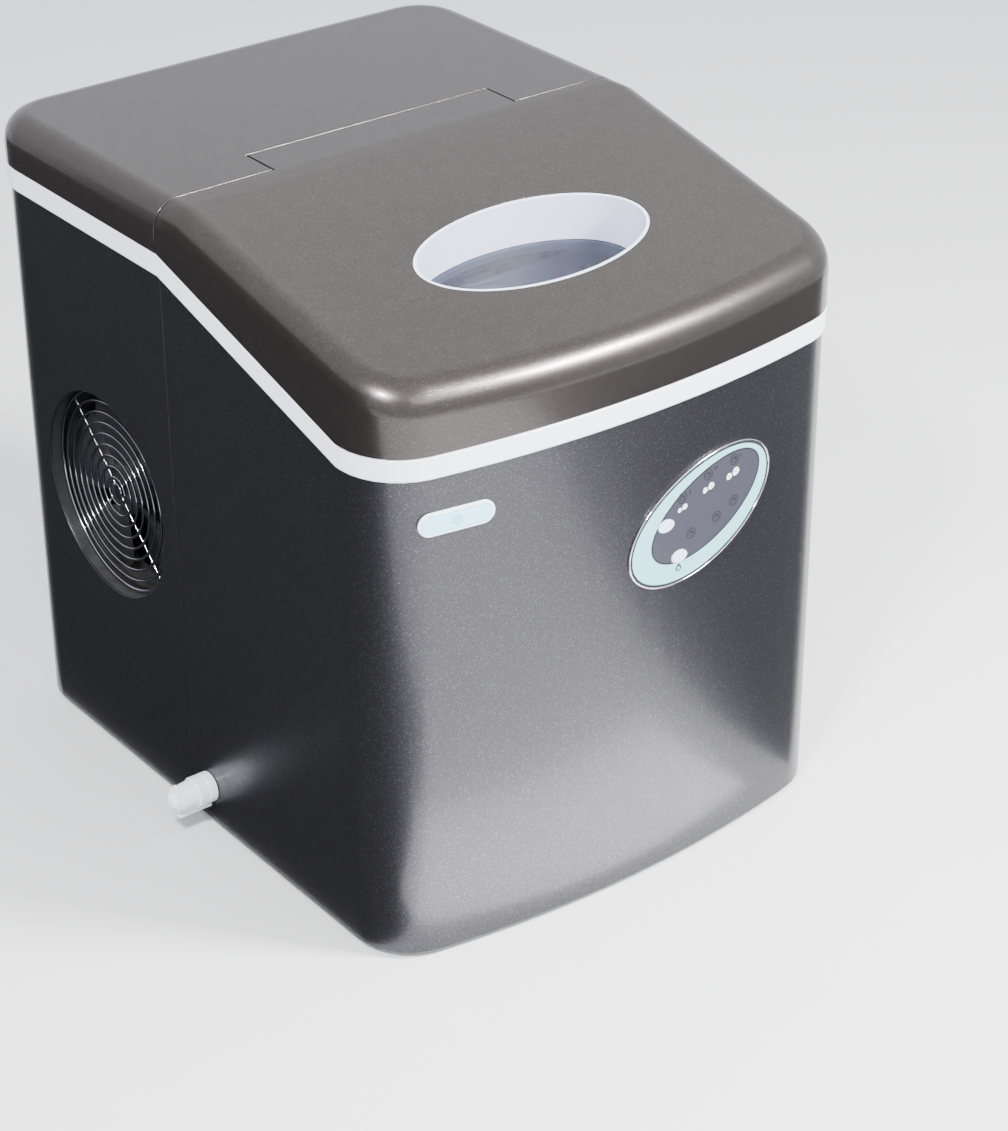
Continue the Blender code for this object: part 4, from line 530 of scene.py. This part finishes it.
def wire_guard_tree():
    """Rings of wire on spokes, with a rim and a small dome in the middle."""
    tree, given, out = shape_group("wire_guard", [
        ("Rings", "Int", 8), ("First Radius", "Float", 0.01), ("Pitch", "Float", 0.0075),
        ("Wire", "Float", 0.0009), ("Rim Radius", "Float", 0.069), ("Rim Wire", "Float", 0.0011),
        ("Spokes", "Int", 4), ("Hub Radius", "Float", 0.006)])
    index = add(tree, "GeometryNodeInputIndex").outputs[0]
    size = maths(tree, "MULTIPLY_ADD", index, given["Pitch"], given["First Radius"])
    rings = on_points(tree, spots(tree, given["Rings"]), circle(tree, 72, 1.0),
                      {"Scale": vector(tree, size, size, size)})
    rim = circle(tree, 96, given["Rim Radius"])
    back = maths(tree, "MULTIPLY", given["Wire"], 1.5)
    spoke = line(tree, vector(tree, z=back), vector(tree, given["Rim Radius"], z=back))
    part_turn = maths(tree, "DIVIDE", math.tau, given["Spokes"])
    angle = maths(tree, "MULTIPLY", maths(tree, "ADD", index, 0.5), part_turn)
    spokes = on_points(tree, spots(tree, given["Spokes"]), spoke, {"Rotation": vector(tree, z=angle)})
    dome = moved(tree, ball(tree, 32, 16, given["Hub Radius"]), {"Scale": (1.0, 1.0, 0.3)})
    everything = joined(tree, swept(tree, real(tree, rings), given["Wire"]),
                        swept(tree, rim, given["Rim Wire"]),
                        swept(tree, real(tree, spokes), given["Wire"]), dome)
    finish_tree(tree, out, given, everything, (0.0, math.pi / 2, 0.0))
    return tree


def row_tree():
    """A row of equal plates, such as fins, from Centre along Step."""
    tree, given, out = shape_group("plate_row", [
        ("Count", "Int", 10), ("Step", "Vector", (0.0, 0.002, 0.0)),
        ("Plate", "Vector", (0.02, 0.0002, 0.1))])
    points = add(tree, "GeometryNodeMeshLine", {"Count": given["Count"], "Offset": given["Step"]})
    row = on_points(tree, points, block(tree, given["Plate"]))
    finish_tree(tree, out, given, row, (0.0, 0.0, 0.0), smooth=False)
    return tree


def ridge_tree():
    """Rounded ridges round an axis along X, for a grip."""
    tree, given, out = shape_group("grip_ridges", [
        ("Count", "Int", 24), ("Radius", "Float", 0.008), ("Length", "Float", 0.004),
        ("Ridge", "Float", 0.0006), ("Taper", "Float", 0.2)])
    index = add(tree, "GeometryNodeInputIndex").outputs[0]
    angle = maths(tree, "MULTIPLY", index, maths(tree, "DIVIDE", math.tau, given["Count"]))
    half = maths(tree, "MULTIPLY", given["Length"], 0.5)
    lean = maths(tree, "MULTIPLY", half, given["Taper"])
    below = maths(tree, "MULTIPLY", half, -1.0)
    start = vector(tree, maths(tree, "SUBTRACT", given["Radius"], lean), z=below)
    end = vector(tree, maths(tree, "ADD", given["Radius"], lean), z=half)
    bar = swept(tree, line(tree, start, end), given["Ridge"], 8)
    ridges = on_points(tree, spots(tree, given["Count"]), bar, {"Rotation": vector(tree, z=angle)})
    finish_tree(tree, out, given, ridges, (0.0, math.pi / 2, 0.0))
    return tree


def screw_tree():
    """Domed cross-head screws on points, facing +Y."""
    tree, given, out = shape_group("cross_screws", [
        ("Geometry", "Geometry", None), ("Head Radius", "Float", 0.004), ("Head Height", "Float", 0.0018),
        ("Slot", "Float", 0.0009)])
    radius, height = given["Head Radius"], given["Head Height"]
    flattened = vector(tree, 1.0, maths(tree, "DIVIDE", height, radius), 1.0)
    head = moved(tree, ball(tree, 24, 12, radius), {"Scale": flattened})
    deep = maths(tree, "MULTIPLY", height, 1.2)
    wide = maths(tree, "MULTIPLY", radius, 1.1)
    bars = [moved(tree, block(tree, vector(tree, *sizes)), {"Translation": vector(tree, y=height)})
            for sizes in ((wide, deep, given["Slot"]), (given["Slot"], deep, wide))]
    crossed = add(tree, "GeometryNodeMeshBoolean", {
        "Mesh 1": head, "Mesh 2": joined(tree, *bars), "Self Intersection": True},
        operation="DIFFERENCE", solver="EXACT")
    screws = on_points(tree, given["Geometry"], crossed)
    finish_tree(tree, out, given, screws, (0.0, 0.0, 0.0), smooth=False)
    return tree


def bend_tree():
    """Half-round return bends of pipe on points, bulging along +Y."""
    tree, given, out = shape_group("return_bends", [
        ("Geometry", "Geometry", None), ("Bend Radius", "Float", 0.01), ("Pipe", "Float", 0.003)])
    half = add(tree, "GeometryNodeTrimCurve", {"Curve": circle(tree, 32, given["Bend Radius"]),
                                               2: 0.0, 3: 0.5})
    pipe = swept(tree, half, given["Pipe"], 12)
    upright = moved(tree, pipe, {"Rotation": (0.0, math.pi / 2, 0.0)})
    finish_tree(tree, out, given, on_points(tree, given["Geometry"], upright), (0.0, 0.0, 0.0))
    return tree


# --------------------------------------------------------------------------
# Flat work on the bowed front
# --------------------------------------------------------------------------

PANEL_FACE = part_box("front_panel")[0][1]
CONTROL_LOW, CONTROL_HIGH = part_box("control_bezel")
CONTROL_AT = ((CONTROL_LOW[0] + CONTROL_HIGH[0]) / 2, (CONTROL_LOW[2] + CONTROL_HIGH[2]) / 2)


def bow_y(x, out):
    """Depth of a point on the bowed front, out in front of the panel's face."""
    radius = BOW_RADIUS + out
    return PANEL_FACE + BOW_RADIUS - math.sqrt(radius * radius - (x - MIDDLE_X) ** 2)


def oval(centre, long, short, tilt, steps=96):
    points = []
    for i in range(steps):
        angle = i * math.tau / steps
        u, v = long * math.cos(angle), short * math.sin(angle)
        points.append((centre[0] + u * math.cos(tilt) - v * math.sin(tilt),
                       centre[1] + u * math.sin(tilt) + v * math.cos(tilt)))
    return points


def bowed_layers(layers):
    """Points and faces of an open skin through (loop, out) pairs, each loop a list of (x, z)."""
    points = []
    faces = []
    count = len(layers[0][0])
    for loop, out in layers:
        points += [(x, bow_y(x, out), z) for x, z in loop]
    for layer in range(len(layers) - 1):
        for i in range(count):
            a, b = layer * count + i, layer * count + (i + 1) % count
            faces.append((a, b, b + count, a + count))
    return points, faces, count


def disc_piece(name, loop, low, high, material, edge=0.0, rings=6):
    """A flat plate with that outline, bent to the bow, between two distances from the panel's face."""
    middle = (sum(p[0] for p in loop) / len(loop), sum(p[1] for p in loop) / len(loop))

    def shrunk(share, inset=0.0):
        made = []
        for x, z in loop:
            reach = math.hypot(x - middle[0], z - middle[1])
            scale = share * max(reach - inset, 0.0) / reach if reach else 0.0
            made.append((middle[0] + (x - middle[0]) * scale, middle[1] + (z - middle[1]) * scale))
        return made

    layers = [(shrunk(1.0 / rings * i), low) for i in range(1, rings + 1)]
    if edge:
        layers += [(loop, high - edge), (shrunk(1.0, edge * 0.3), high - edge * 0.3),
                   (shrunk(1.0, edge), high)]
    else:
        layers.append((loop, high))
    layers += [(shrunk(1.0 / rings * i, edge), high) for i in range(rings - 1, 0, -1)]
    points, faces, count = bowed_layers(layers)
    for start, out in ((0, low), ((len(layers) - 1) * count, high)):
        hub = len(points)
        points.append((middle[0], bow_y(middle[0], out), middle[1]))
        faces += [(hub, start + i, start + (i + 1) % count) for i in range(count)]
    return show(name, mesh_from(name, points, faces), material)


# across a rounded rim: share of its width, drop as a share of the rounding
ROUND_OVER = ((0.0, 1.0), (0.12, 0.45), (0.3, 0.08), (0.5, 0.0), (0.7, 0.08), (0.88, 0.45), (1.0, 1.0))


def ring_piece(name, outer, inner, low, high, material, edge=0.0):
    """A flat ring between two outlines, bent to the bow. With an edge it is rounded over."""
    if edge:
        mids = []
        for share, drop in ROUND_OVER:
            loop = [(a[0] + (b[0] - a[0]) * share, a[1] + (b[1] - a[1]) * share)
                    for a, b in zip(outer, inner)]
            mids.append((loop, high - edge * drop))
        layers = [(outer, low), *mids, (inner, low)]
    else:
        layers = [(outer, low), (outer, high), (inner, high), (inner, low)]
    points, faces, count = bowed_layers(layers)
    last = (len(layers) - 1) * count
    faces += [(i, (i + 1) % count, last + (i + 1) % count, last + i) for i in range(count)]
    return show(name, mesh_from(name, points, faces, smooth=bool(edge)), material)


def merge(name, pieces):
    """Join several plain meshes into one piece, keeping their finishes."""
    target = pieces[0]
    bpy.ops.object.select_all(action="DESELECT")
    for piece in pieces:
        piece.select_set(True)
    bpy.context.view_layer.objects.active = target
    bpy.ops.object.join()
    target.name = name
    target.data.name = name
    return target


def punch(piece, cutters):
    """Cut holes through a piece. The cutters stay, for the next piece."""
    for cutter in cutters:
        hole = piece.modifiers.new("hole", "BOOLEAN")
        hole.object = cutter
        hole.operation = "DIFFERENCE"
        hole.solver = "EXACT"
    applied(piece)


def oval_cutter(name, node):
    """An oval prism round a button, for its hole."""
    low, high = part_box(node)
    centre = ((low[0] + high[0]) / 2, (low[2] + high[2]) / 2)
    long, short = ((high[axis] - low[axis]) / 2 - BUTTON_FLANGE + BUTTON_ROOM for axis in (0, 2))
    loop = oval(centre, long, short, 0.0, 40)
    points = [(x, y, z) for y in (PANEL_FACE - 0.02, PANEL_FACE + 0.04) for x, z in loop]
    count = len(loop)
    faces = [tuple(range(count)), tuple(range(count, 2 * count))]
    faces += [(i, (i + 1) % count, (i + 1) % count + count, i + count) for i in range(count)]
    return show(name, mesh_from(name, points, faces), DARK_PRINT)


def cube_mark(name, at, size, out):
    """A small tilted block with three visible faces, printed flat."""
    pieces = []
    for index, corners in enumerate(CUBE_FACES):
        loop = []
        for u, v in corners:
            u, v = u * size, v * size
            loop.append((at[0] + u * math.cos(MARK_LEAN) - v * math.sin(MARK_LEAN),
                         at[1] + u * math.sin(MARK_LEAN) + v * math.cos(MARK_LEAN)))
        pieces.append(disc_piece(f"{name}_{index}", loop, out, out + PRINT_THICK, PALE_PRINT, rings=1))
    return pieces


def stroke(name, start, end, width, out, material):
    """A straight printed line."""
    along = Vector((end[0] - start[0], end[1] - start[1])).normalized() * (width / 2)
    across = Vector((-along.y, along.x))
    loop = [(start[0] + across.x, start[1] + across.y), (start[0] - along.x, start[1] - along.y),
            (start[0] - across.x, start[1] - across.y), (end[0] - across.x, end[1] - across.y),
            (end[0] + along.x, end[1] + along.y), (end[0] + across.x, end[1] + across.y)]
    return disc_piece(name, loop, out, out + PRINT_THICK, material, rings=1)


def lamp_mark(index, at):
    """Two thin rings and a dot."""
    low, high = PLATE_FACE + FIELD_RISE - PRINT_SINK, PLATE_FACE + FIELD_RISE + PRINT_THICK
    marks = []
    for number, (reach, width) in enumerate(((LAMP_RADIUS, 0.0005), (LAMP_RADIUS * 0.58, 0.0004))):
        marks.append(ring_piece(f"lamp_ring_{index}_{number}", oval(at, reach, reach, 0.0, 40),
                                oval(at, reach - width, reach - width, 0.0, 40), low, high, DARK_PRINT))
    dot = oval((at[0] + 0.0004, at[1] + 0.0005), 0.0008, 0.0008, 0.0, 20)
    marks.append(disc_piece(f"lamp_{index}", dot, low, high, DARK_PRINT, rings=2))
    return marks


def power_mark(out):
    """Broken ring with a stroke, under the power button."""
    low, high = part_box("power_button")
    x, z = (low[0] + high[0]) / 2, low[2] - POWER_DROP
    outer, inner = (oval((x, z), radius, radius, 0.0, 32) for radius in POWER_MARK)
    ring = ring_piece("power_mark", outer, inner, out, out + PRINT_SINK + PRINT_THICK, DARK_PRINT)
    return [ring, stroke("power_stroke", (x, z + 0.0008), (x, z + 0.0029), 0.0006, out, DARK_PRINT)]


def control_panel():
    """Bright rim, dark line, mint plate and grey field with its lamps and marks."""
    rim_outer = oval(CONTROL_AT, CONTROL_LONG, CONTROL_SHORT, CONTROL_TILT)
    rim_inner = oval(CONTROL_AT, CONTROL_LONG - BEZEL_WIDTH, CONTROL_SHORT - BEZEL_WIDTH, CONTROL_TILT)
    settle(ring_piece("control_rim", rim_outer, rim_inner, 0.0001, 0.0016, CHROME, edge=0.0006),
           "control_bezel")
    finished("control_overlay", MINT_PLASTIC, 0.0002, 1)
    under, over = PLATE_FACE - PRINT_SINK, PLATE_FACE + FIELD_RISE
    line_outer, line_inner = (oval(CONTROL_AT, CONTROL_LONG - inset, CONTROL_SHORT - inset, CONTROL_TILT)
                              for inset in (BEZEL_WIDTH - PRINT_SINK, BEZEL_WIDTH + LINE_WIDTH))
    field_at = (CONTROL_AT[0] + WINDOW_SHIFT[0], CONTROL_AT[1] + WINDOW_SHIFT[1])
    field_loop = oval(field_at, WINDOW_LONG, WINDOW_SHORT, WINDOW_TILT)
    field = disc_piece("control_field", field_loop, under, over, FIELD_PLASTIC)
    rim_in = oval(field_at, WINDOW_LONG - FIELD_EDGE, WINDOW_SHORT - FIELD_EDGE, WINDOW_TILT)
    edge = ring_piece("field_edge", field_loop, rim_in, PLATE_FACE + PRINT_SINK, over + PRINT_SINK,
                      DARK_PRINT)
    cutters = [oval_cutter("select_cutter", "select_button"), oval_cutter("power_cutter", "power_button")]
    punch(field, cutters)
    punch(edge, cutters)
    marks = [field, edge, ring_piece("plate_line", line_outer, line_inner, under, over, DARK_PRINT)]
    out = over - PRINT_SINK
    for index, (x, z) in enumerate(LAMPS):
        marks += lamp_mark(index, (MIDDLE_X + x, z))
    for index, (x, z, size) in enumerate(CUBES):
        for number, (dx, dz, share) in enumerate(CUBE_PAIR):
            place = (MIDDLE_X + x + dx * size, z + dz * size)
            marks += cube_mark(f"cube_{index}_{number}", place, size * share, out)
    for index, (x, z, letter) in enumerate(LETTERS):
        for number, line in enumerate(STROKES[letter]):
            start, end = ((MIDDLE_X + x + u * LETTER_SIZE, z + v * LETTER_SIZE) for u, v in line)
            marks.append(stroke(f"letter_{index}_{number}", start, end, LINE_THICK, out, DARK_PRINT))
    marks += power_mark(out)
    settle(merge("control_marks", marks), "control_overlay", replace=False)
    for cutter in cutters:
        bpy.data.objects.remove(cutter)
    finished("select_button", WHITE_PLASTIC, 0.0007, 4)
    finished("power_button", WHITE_PLASTIC, 0.0007, 4)


def badge():
    """Blank oval name plate: pale edge, thin line, cyan field with a snowflake."""
    low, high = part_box("name_badge")
    centre = ((low[0] + high[0]) / 2, (low[2] + high[2]) / 2)
    half, tall = (high[0] - low[0]) / 2, (high[2] - low[2]) / 2

    def pill(inset):
        points = []
        radius = tall - inset
        for side, start in ((1, -math.pi / 2), (-1, math.pi / 2)):
            for i in range(25):
                angle = start + math.pi * i / 24
                points.append((centre[0] + side * (half - tall) + radius * math.cos(angle),
                               centre[1] + radius * math.sin(angle)))
        return points

    line_in = pill(BADGE_RIM + LINE_THICK)
    marks = [disc_piece("name_plate", pill(0.0), 0.0002, 0.0016, BADGE_EDGE, edge=0.0006),
             ring_piece("plate_line", pill(BADGE_RIM), line_in, 0.0015, BADGE_FACE + 0.00002, BADGE_LINE),
             disc_piece("plate_field", line_in, 0.0015, BADGE_FACE, BADGE_FIELD)]
    for i in range(6):
        turn = i * math.pi / 3 + math.pi / 2
        tip, root = ((centre[0] + FLAKE_ARM * share * math.cos(turn),
                      centre[1] + FLAKE_ARM * share * math.sin(turn)) for share in (1.0, 0.55))
        marks.append(stroke(f"flake_{i}", centre, tip, LINE_THICK, BADGE_FACE, BADGE_LINE))
        for side in (-1, 1):
            side_turn = turn + side * math.pi / 3
            end = (root[0] + FLAKE_TWIG * math.cos(side_turn), root[1] + FLAKE_TWIG * math.sin(side_turn))
            marks.append(stroke(f"flake_{i}_{side}", root, end, 0.0004, BADGE_FACE, BADGE_LINE))
    settle(merge("name_plate", marks), "name_badge")


# --------------------------------------------------------------------------
# Fan, condenser, tap and screws
# --------------------------------------------------------------------------

def fan_guard():
    low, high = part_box("fan_guard")
    centre = (Vector(low) + Vector(high)) / 2
    rim = (high[2] - low[2]) / 2 - 0.0016
    guard = grown("fan_guard_wires", wire_guard_tree(), {
        "Rings": GUARD_RINGS, "First Radius": GUARD_FIRST, "Pitch": GUARD_PITCH, "Wire": GUARD_WIRE,
        "Rim Radius": rim, "Rim Wire": 0.0014, "Spokes": GUARD_SPOKES, "Hub Radius": GUARD_HUB,
        "Centre": centre, "Material": WIRE_CHROME})
    settle(guard, "fan_guard")


def blade(shape, middle, axis, base):
    """One curved, twisted blade, added to a mesh being edited."""
    grid = {}
    steps = range(BLADE_GRID)
    for face in (0, 1):
        for r in range(BLADE_GRID + 1):
            share = r / BLADE_GRID
            radius = FAN_HUB - 0.001 + share * (FAN_TIP - FAN_HUB + 0.001)
            span = math.radians(BLADE_SPAN[0] + BLADE_SPAN[1] * share)
            pitch = BLADE_PITCH[0] + BLADE_PITCH[1] * share
            for c in range(BLADE_GRID + 1):
                along = c / BLADE_GRID - 0.5
                inset = 1.0 - 0.16 * max(0.0, share - 0.85) / 0.15 * (2 * abs(along)) ** 3
                turn = base + BLADE_SWEEP * share * share + span * along * inset
                camber = BLADE_CAMBER * (1.0 - 4.0 * along * along)
                thick = BLADE_THICK[0] + BLADE_THICK[1] * math.sqrt(max(0.0, 1.0 - (2 * along) ** 4))
                grid[face, r, c] = shape.verts.new((
                    middle + 2 * pitch * along - camber + (face - 0.5) * thick,
                    axis.y + radius * math.cos(turn), axis.z + radius * math.sin(turn)))
    for face in (0, 1):
        for r in steps:
            for c in steps:
                quad = [grid[face, r, c], grid[face, r, c + 1], grid[face, r + 1, c + 1],
                        grid[face, r + 1, c]]
                shape.faces.new(quad if face else quad[::-1])
    for r in steps:
        for c in (0, BLADE_GRID):
            shape.faces.new([grid[0, r, c], grid[0, r + 1, c], grid[1, r + 1, c], grid[1, r, c]])
    for c in steps:
        for r in (0, BLADE_GRID):
            shape.faces.new([grid[0, r, c], grid[0, r, c + 1], grid[1, r, c + 1], grid[1, r, c]])


def fan_wheel():
    """Hub turned from a profile, with its blades."""
    low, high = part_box("fan_blade")
    axis = PIVOT["fan_spin"]
    front, back = low[0], high[0]
    profile = [(front + 0.0004, 0.0), (front + 0.0002, 0.006), (front, 0.0125), (front + 0.0008, 0.0155),
               (front + 0.0026, FAN_HUB), (axis.x - 0.0002, FAN_HUB), (axis.x - 0.0002, FAN_HUB - 0.0015),
               (front + 0.0048, FAN_HUB - 0.0017), (front + 0.0038, 0.004), (back - 0.0003, 0.0038),
               (back - 0.0003, 0.0)]
    points, faces = [], []
    for x, radius in profile:
        for i in range(FAN_STEPS):
            turn = i * math.tau / FAN_STEPS
            points.append((x, axis.y + radius * math.cos(turn), axis.z + radius * math.sin(turn)))
    for ring in range(len(profile) - 1):
        for i in range(FAN_STEPS):
            a, b = ring * FAN_STEPS + i, ring * FAN_STEPS + (i + 1) % FAN_STEPS
            faces.append((a, b, b + FAN_STEPS, a + FAN_STEPS))
    mesh = bpy.data.meshes.new("fan_hub")
    mesh.from_pydata(points, [], faces)
    shape = bmesh.new()
    shape.from_mesh(mesh)
    bmesh.ops.remove_doubles(shape, verts=shape.verts, dist=0.00001)
    for number in range(FAN_BLADES):
        blade(shape, (front + axis.x) / 2, axis, number * math.tau / FAN_BLADES)
    bmesh.ops.recalc_face_normals(shape, faces=shape.faces)
    for face in shape.faces:
        face.smooth = True
    for edge in shape.edges:
        edge.smooth = len(edge.link_faces) == 2 and edge.calc_face_angle(0.0) < math.radians(40.0)
    shape.to_mesh(mesh)
    shape.free()
    settle(show("fan_wheel", mesh, BLACK_PLASTIC), "fan_blade")


def condenser():
    """Fins between two end plates, with pipe bends outside the plates."""
    low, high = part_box("condenser")
    middle = (Vector(low) + Vector(high)) / 2
    core_low = high[2] - CORE_HEIGHT
    count = int((high[1] - low[1] - 0.004) / FIN_PITCH)
    first = middle.y - (count - 1) * FIN_PITCH / 2
    rise = FIN_HEIGHT / PIPE_ROWS
    start = core_low + rise / 2
    rows = row_tree()
    fins = grown("condenser_fins", rows, {
        "Count": count, "Step": (0.0, FIN_PITCH, 0.0),
        "Plate": (high[0] - low[0] - 0.002, FIN_THICK, FIN_HEIGHT),
        "Centre": (middle.x, first, (core_low + high[2]) / 2), "Material": FIN_METAL})
    plates = grown("condenser_ends", rows, {
        "Count": 2, "Step": (0.0, high[1] - low[1] - 0.0015, 0.0),
        "Plate": (high[0] - low[0], 0.0013, high[2] - low[2]),
        "Centre": (middle.x, low[1] + 0.00075, middle.z), "Material": GALVANISED})
    ends = [(middle.x, high[1] - 0.0006, start + (row + 0.5) * rise) for row in range(0, PIPE_ROWS - 1, 2)]
    bends = grown("condenser_bends", bend_tree(), {
        "Bend Radius": rise / 2, "Pipe": 0.0033, "Centre": (0.0, 0.0, 0.0), "Material": COPPER}, ends)
    pipes = grown("condenser_pipes", rows, {
        "Count": PIPE_ROWS, "Step": (0.0, 0.0, rise), "Plate": (0.006, high[1] - low[1] - 0.003, 0.006),
        "Centre": (middle.x, middle.y, start), "Material": COPPER})
    settle(merge("condenser_core", [fins, plates, bends, pipes]), "condenser")


def drain_cap():
    """Cap with a ribbed grip on its domed end."""
    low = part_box("drain_cap")[0]
    axis = PIVOT["drain_turn"]
    finished("drain_cap", TAP_PLASTIC)
    ridges = grown("drain_cap_ridges", ridge_tree(), {
        "Count": 26, "Radius": 0.0081, "Length": 0.0052, "Ridge": 0.0005, "Taper": 0.24,
        "Centre": (low[0] + 0.0062, axis.y, axis.z), "Material": TAP_PLASTIC})
    settle(ridges, "drain_cap", replace=False)


def rear_screws():
    nodes = [f"rear_screw_{level}_{side}" for level in ("low", "high") for side in ("left", "right")]
    points = []
    for node in nodes:
        low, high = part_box(node)
        points.append(((low[0] + high[0]) / 2, low[1], (low[2] + high[2]) / 2))
    low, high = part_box(nodes[0])
    screws = grown("rear_screws", screw_tree(), {
        "Head Radius": (high[0] - low[0]) / 2, "Head Height": high[1] - low[1], "Slot": 0.0009,
        "Centre": (0.0, 0.0, 0.0), "Material": GALVANISED}, points)
    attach(screws, BODY_OF[nodes[0]])
    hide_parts(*nodes)


# --------------------------------------------------------------------------
# Stage
# --------------------------------------------------------------------------

def camera():
    data = bpy.data.cameras.new("view")
    data.lens = 94.36
    data.sensor_width = 36.0
    view = bpy.data.objects.new("view", data)
    bpy.context.scene.collection.objects.link(view)
    forward = Vector((0.5313, 0.6864, -0.4965)).normalized()
    view.rotation_mode = "QUATERNION"
    view.rotation_quaternion = Quaternion(forward, math.radians(0.18)) @ forward.to_track_quat("-Z", "Y")
    view.location = (-1.0200 + MIDDLE_X, -1.4078, 1.1265)
    bpy.context.scene.camera = view


def light(name, place, target, size, power, colour=(1.0, 1.0, 1.0)):
    data = bpy.data.lights.new(name, "AREA")
    data.shape = "RECTANGLE"
    data.size, data.size_y = size
    data.energy = power
    data.color = colour
    lamp = bpy.data.objects.new(name, data)
    lamp.location = place
    lamp.rotation_mode = "QUATERNION"
    lamp.rotation_quaternion = (Vector(target) - Vector(place)).to_track_quat("-Z", "Y")
    bpy.context.scene.collection.objects.link(lamp)
    return lamp


def studio():
    """Pale floor, soft lights, a grey surround and dark cards that paint shade into the reflections."""
    bpy.ops.mesh.primitive_plane_add(size=14.0)
    floor = bpy.context.object
    floor.name = "floor"
    floor.data.materials.append(finish("pale_floor", (0.80, 0.80, 0.81), 0.55, tone=0.02, dust=0.0,
                                       grain=(300.0, 0.5, 0.00002)))
    world = bpy.data.worlds.new("surround")
    bpy.context.scene.world = world
    world.use_nodes = True
    world.node_tree.nodes["Background"].inputs[0].default_value = (0.92, 0.94, 1.0, 1.0)
    world.node_tree.nodes["Background"].inputs[1].default_value = 1.35
    aim = (0.0, 0.0, 0.25)
    light("top_softbox", (0.9, 1.0, 2.0), aim, (1.6, 1.4), 3.0, (1.0, 0.96, 0.93))
    light("front_softbox", (0.3, -2.4, 1.9), (0.1, -0.6, 0.1), (1.6, 1.0), 24.0)
    light("edge_softbox", (-0.98, -0.80, 1.48), (-0.1, -0.2, 0.37), (0.22, 0.22), 55.0)
    glow = light("front_glow", (-0.03, -0.30, 0.004), (-0.03, -0.30, 1.0), (0.36, 0.12), 1.0,
                 (0.97, 0.97, 1.0))
    glow.visible_camera = False
    glow.visible_diffuse = False
    light("streak_softbox", (0.76, -1.14, 1.34), (-0.05, -0.2, 0.36), (0.40, 0.20), 110.0)
    # painted shade: dark cards, seen only in reflections, darken the left side and the right of the front
    flag("left_reflection_shade_mat", [(-1.8, -0.5, 0.003), (-0.167, -0.5, 0.003), (-0.167, 2.4, 0.003), (-1.8, 2.4, 0.003)])
    flag("left_reflection_shade_card", [(-1.8, -0.5, 0.0), (-1.8, 2.4, 0.0), (-1.8, 2.4, 1.3), (-1.8, -0.5, 1.3)])
    flag("right_reflection_shade_mat", [(0.19, -0.22, 0.003), (0.34, -1.3, 0.003), (1.6, -1.3, 0.003), (1.6, -0.22, 0.003)])


def flag(name, corners):
    """A dark card that keeps the pale floor out of the gloss on one side, as painted shade. It shows only in
    reflections.
    """
    mesh = bpy.data.meshes.new(name)
    mesh.from_pydata(corners, [], [(0, 1, 2, 3)])
    card = show(name, mesh, DARK_PRINT)
    card.visible_camera = False
    card.visible_diffuse = False
    card.visible_shadow = False
    card.visible_transmission = False


# --------------------------------------------------------------------------
# Building it
# --------------------------------------------------------------------------

camera()
studio()

# pieces that keep the frame's shape, with how far their edges are rounded
PLAIN = (
    (BODY_PAINT, {"front_panel": 0.0004, "rear_panel": 0.0004}),
    (LID_PAINT, {"lid_shell": 0.0006, "rear_top_cover": 0.0006}),
    (BAND_PLASTIC, {"trim_band": 0.0012}),
    (WHITE_PLASTIC, {"inner_tub": 0.0008, "tub_floor": 0.0, "tub_deck": 0.0004, "lid_liner": 0.0005,
                     "ice_basket": 0.0006, "basket_floor": 0.0, "water_tray": 0.0004, "tray_motor": 0.0,
                     "ice_shovel": 0.0005}),
    (TAP_PLASTIC, {"drain_tap": 0.0004}),
    (CLEAR_PLASTIC, {"lid_window": 0.0003}),
    (BLACK_PLASTIC, {"ice_sensor_left": 0.0003, "ice_sensor_right": 0.0003, "fan_shroud": 0.0005,
                     "hot_gas_valve": 0.0, "water_pump": 0.0006, "power_inlet": 0.0004}),
    (GREEN_BOARD, {"control_board": 0.0002, "main_board": 0.0002}),
    (GALVANISED, {"base_pan": 0.0003, "hinge_pin_left": 0.0003, "hinge_pin_right": 0.0003,
                  "bulkhead": 0.0002, "evaporator_bracket": 0.0003, "fan_motor": 0.0004,
                  "compressor_mount": 0.0008}),
    (FOAM, {"foam_jacket": 0.0008}),
    (RUBBER, {"foot_front_left": 0.0005, "foot_front_right": 0.0005, "foot_rear_left": 0.0005,
              "foot_rear_right": 0.0005}),
    (COIL_METAL, {"evaporator": 0.0005}),
    (COPPER, {"suction_tube": 0.0, "discharge_tube": 0.0, "capillary_tube": 0.0, "filter_drier": 0.0004}),
    (BLACK_PAINT, {"compressor": 0.0008}),
    (SILICONE, {"lid_gasket": 0.0006, "pump_hose": 0.0, "pump_intake_hose": 0.0}),
)
for plain_finish, roundings in PLAIN:
    for node_name, rounding in roundings.items():
        finished(node_name, plain_finish, rounding)

control_panel()
badge()
fan_guard()
fan_wheel()
condenser()
drain_cap()
rear_screws()
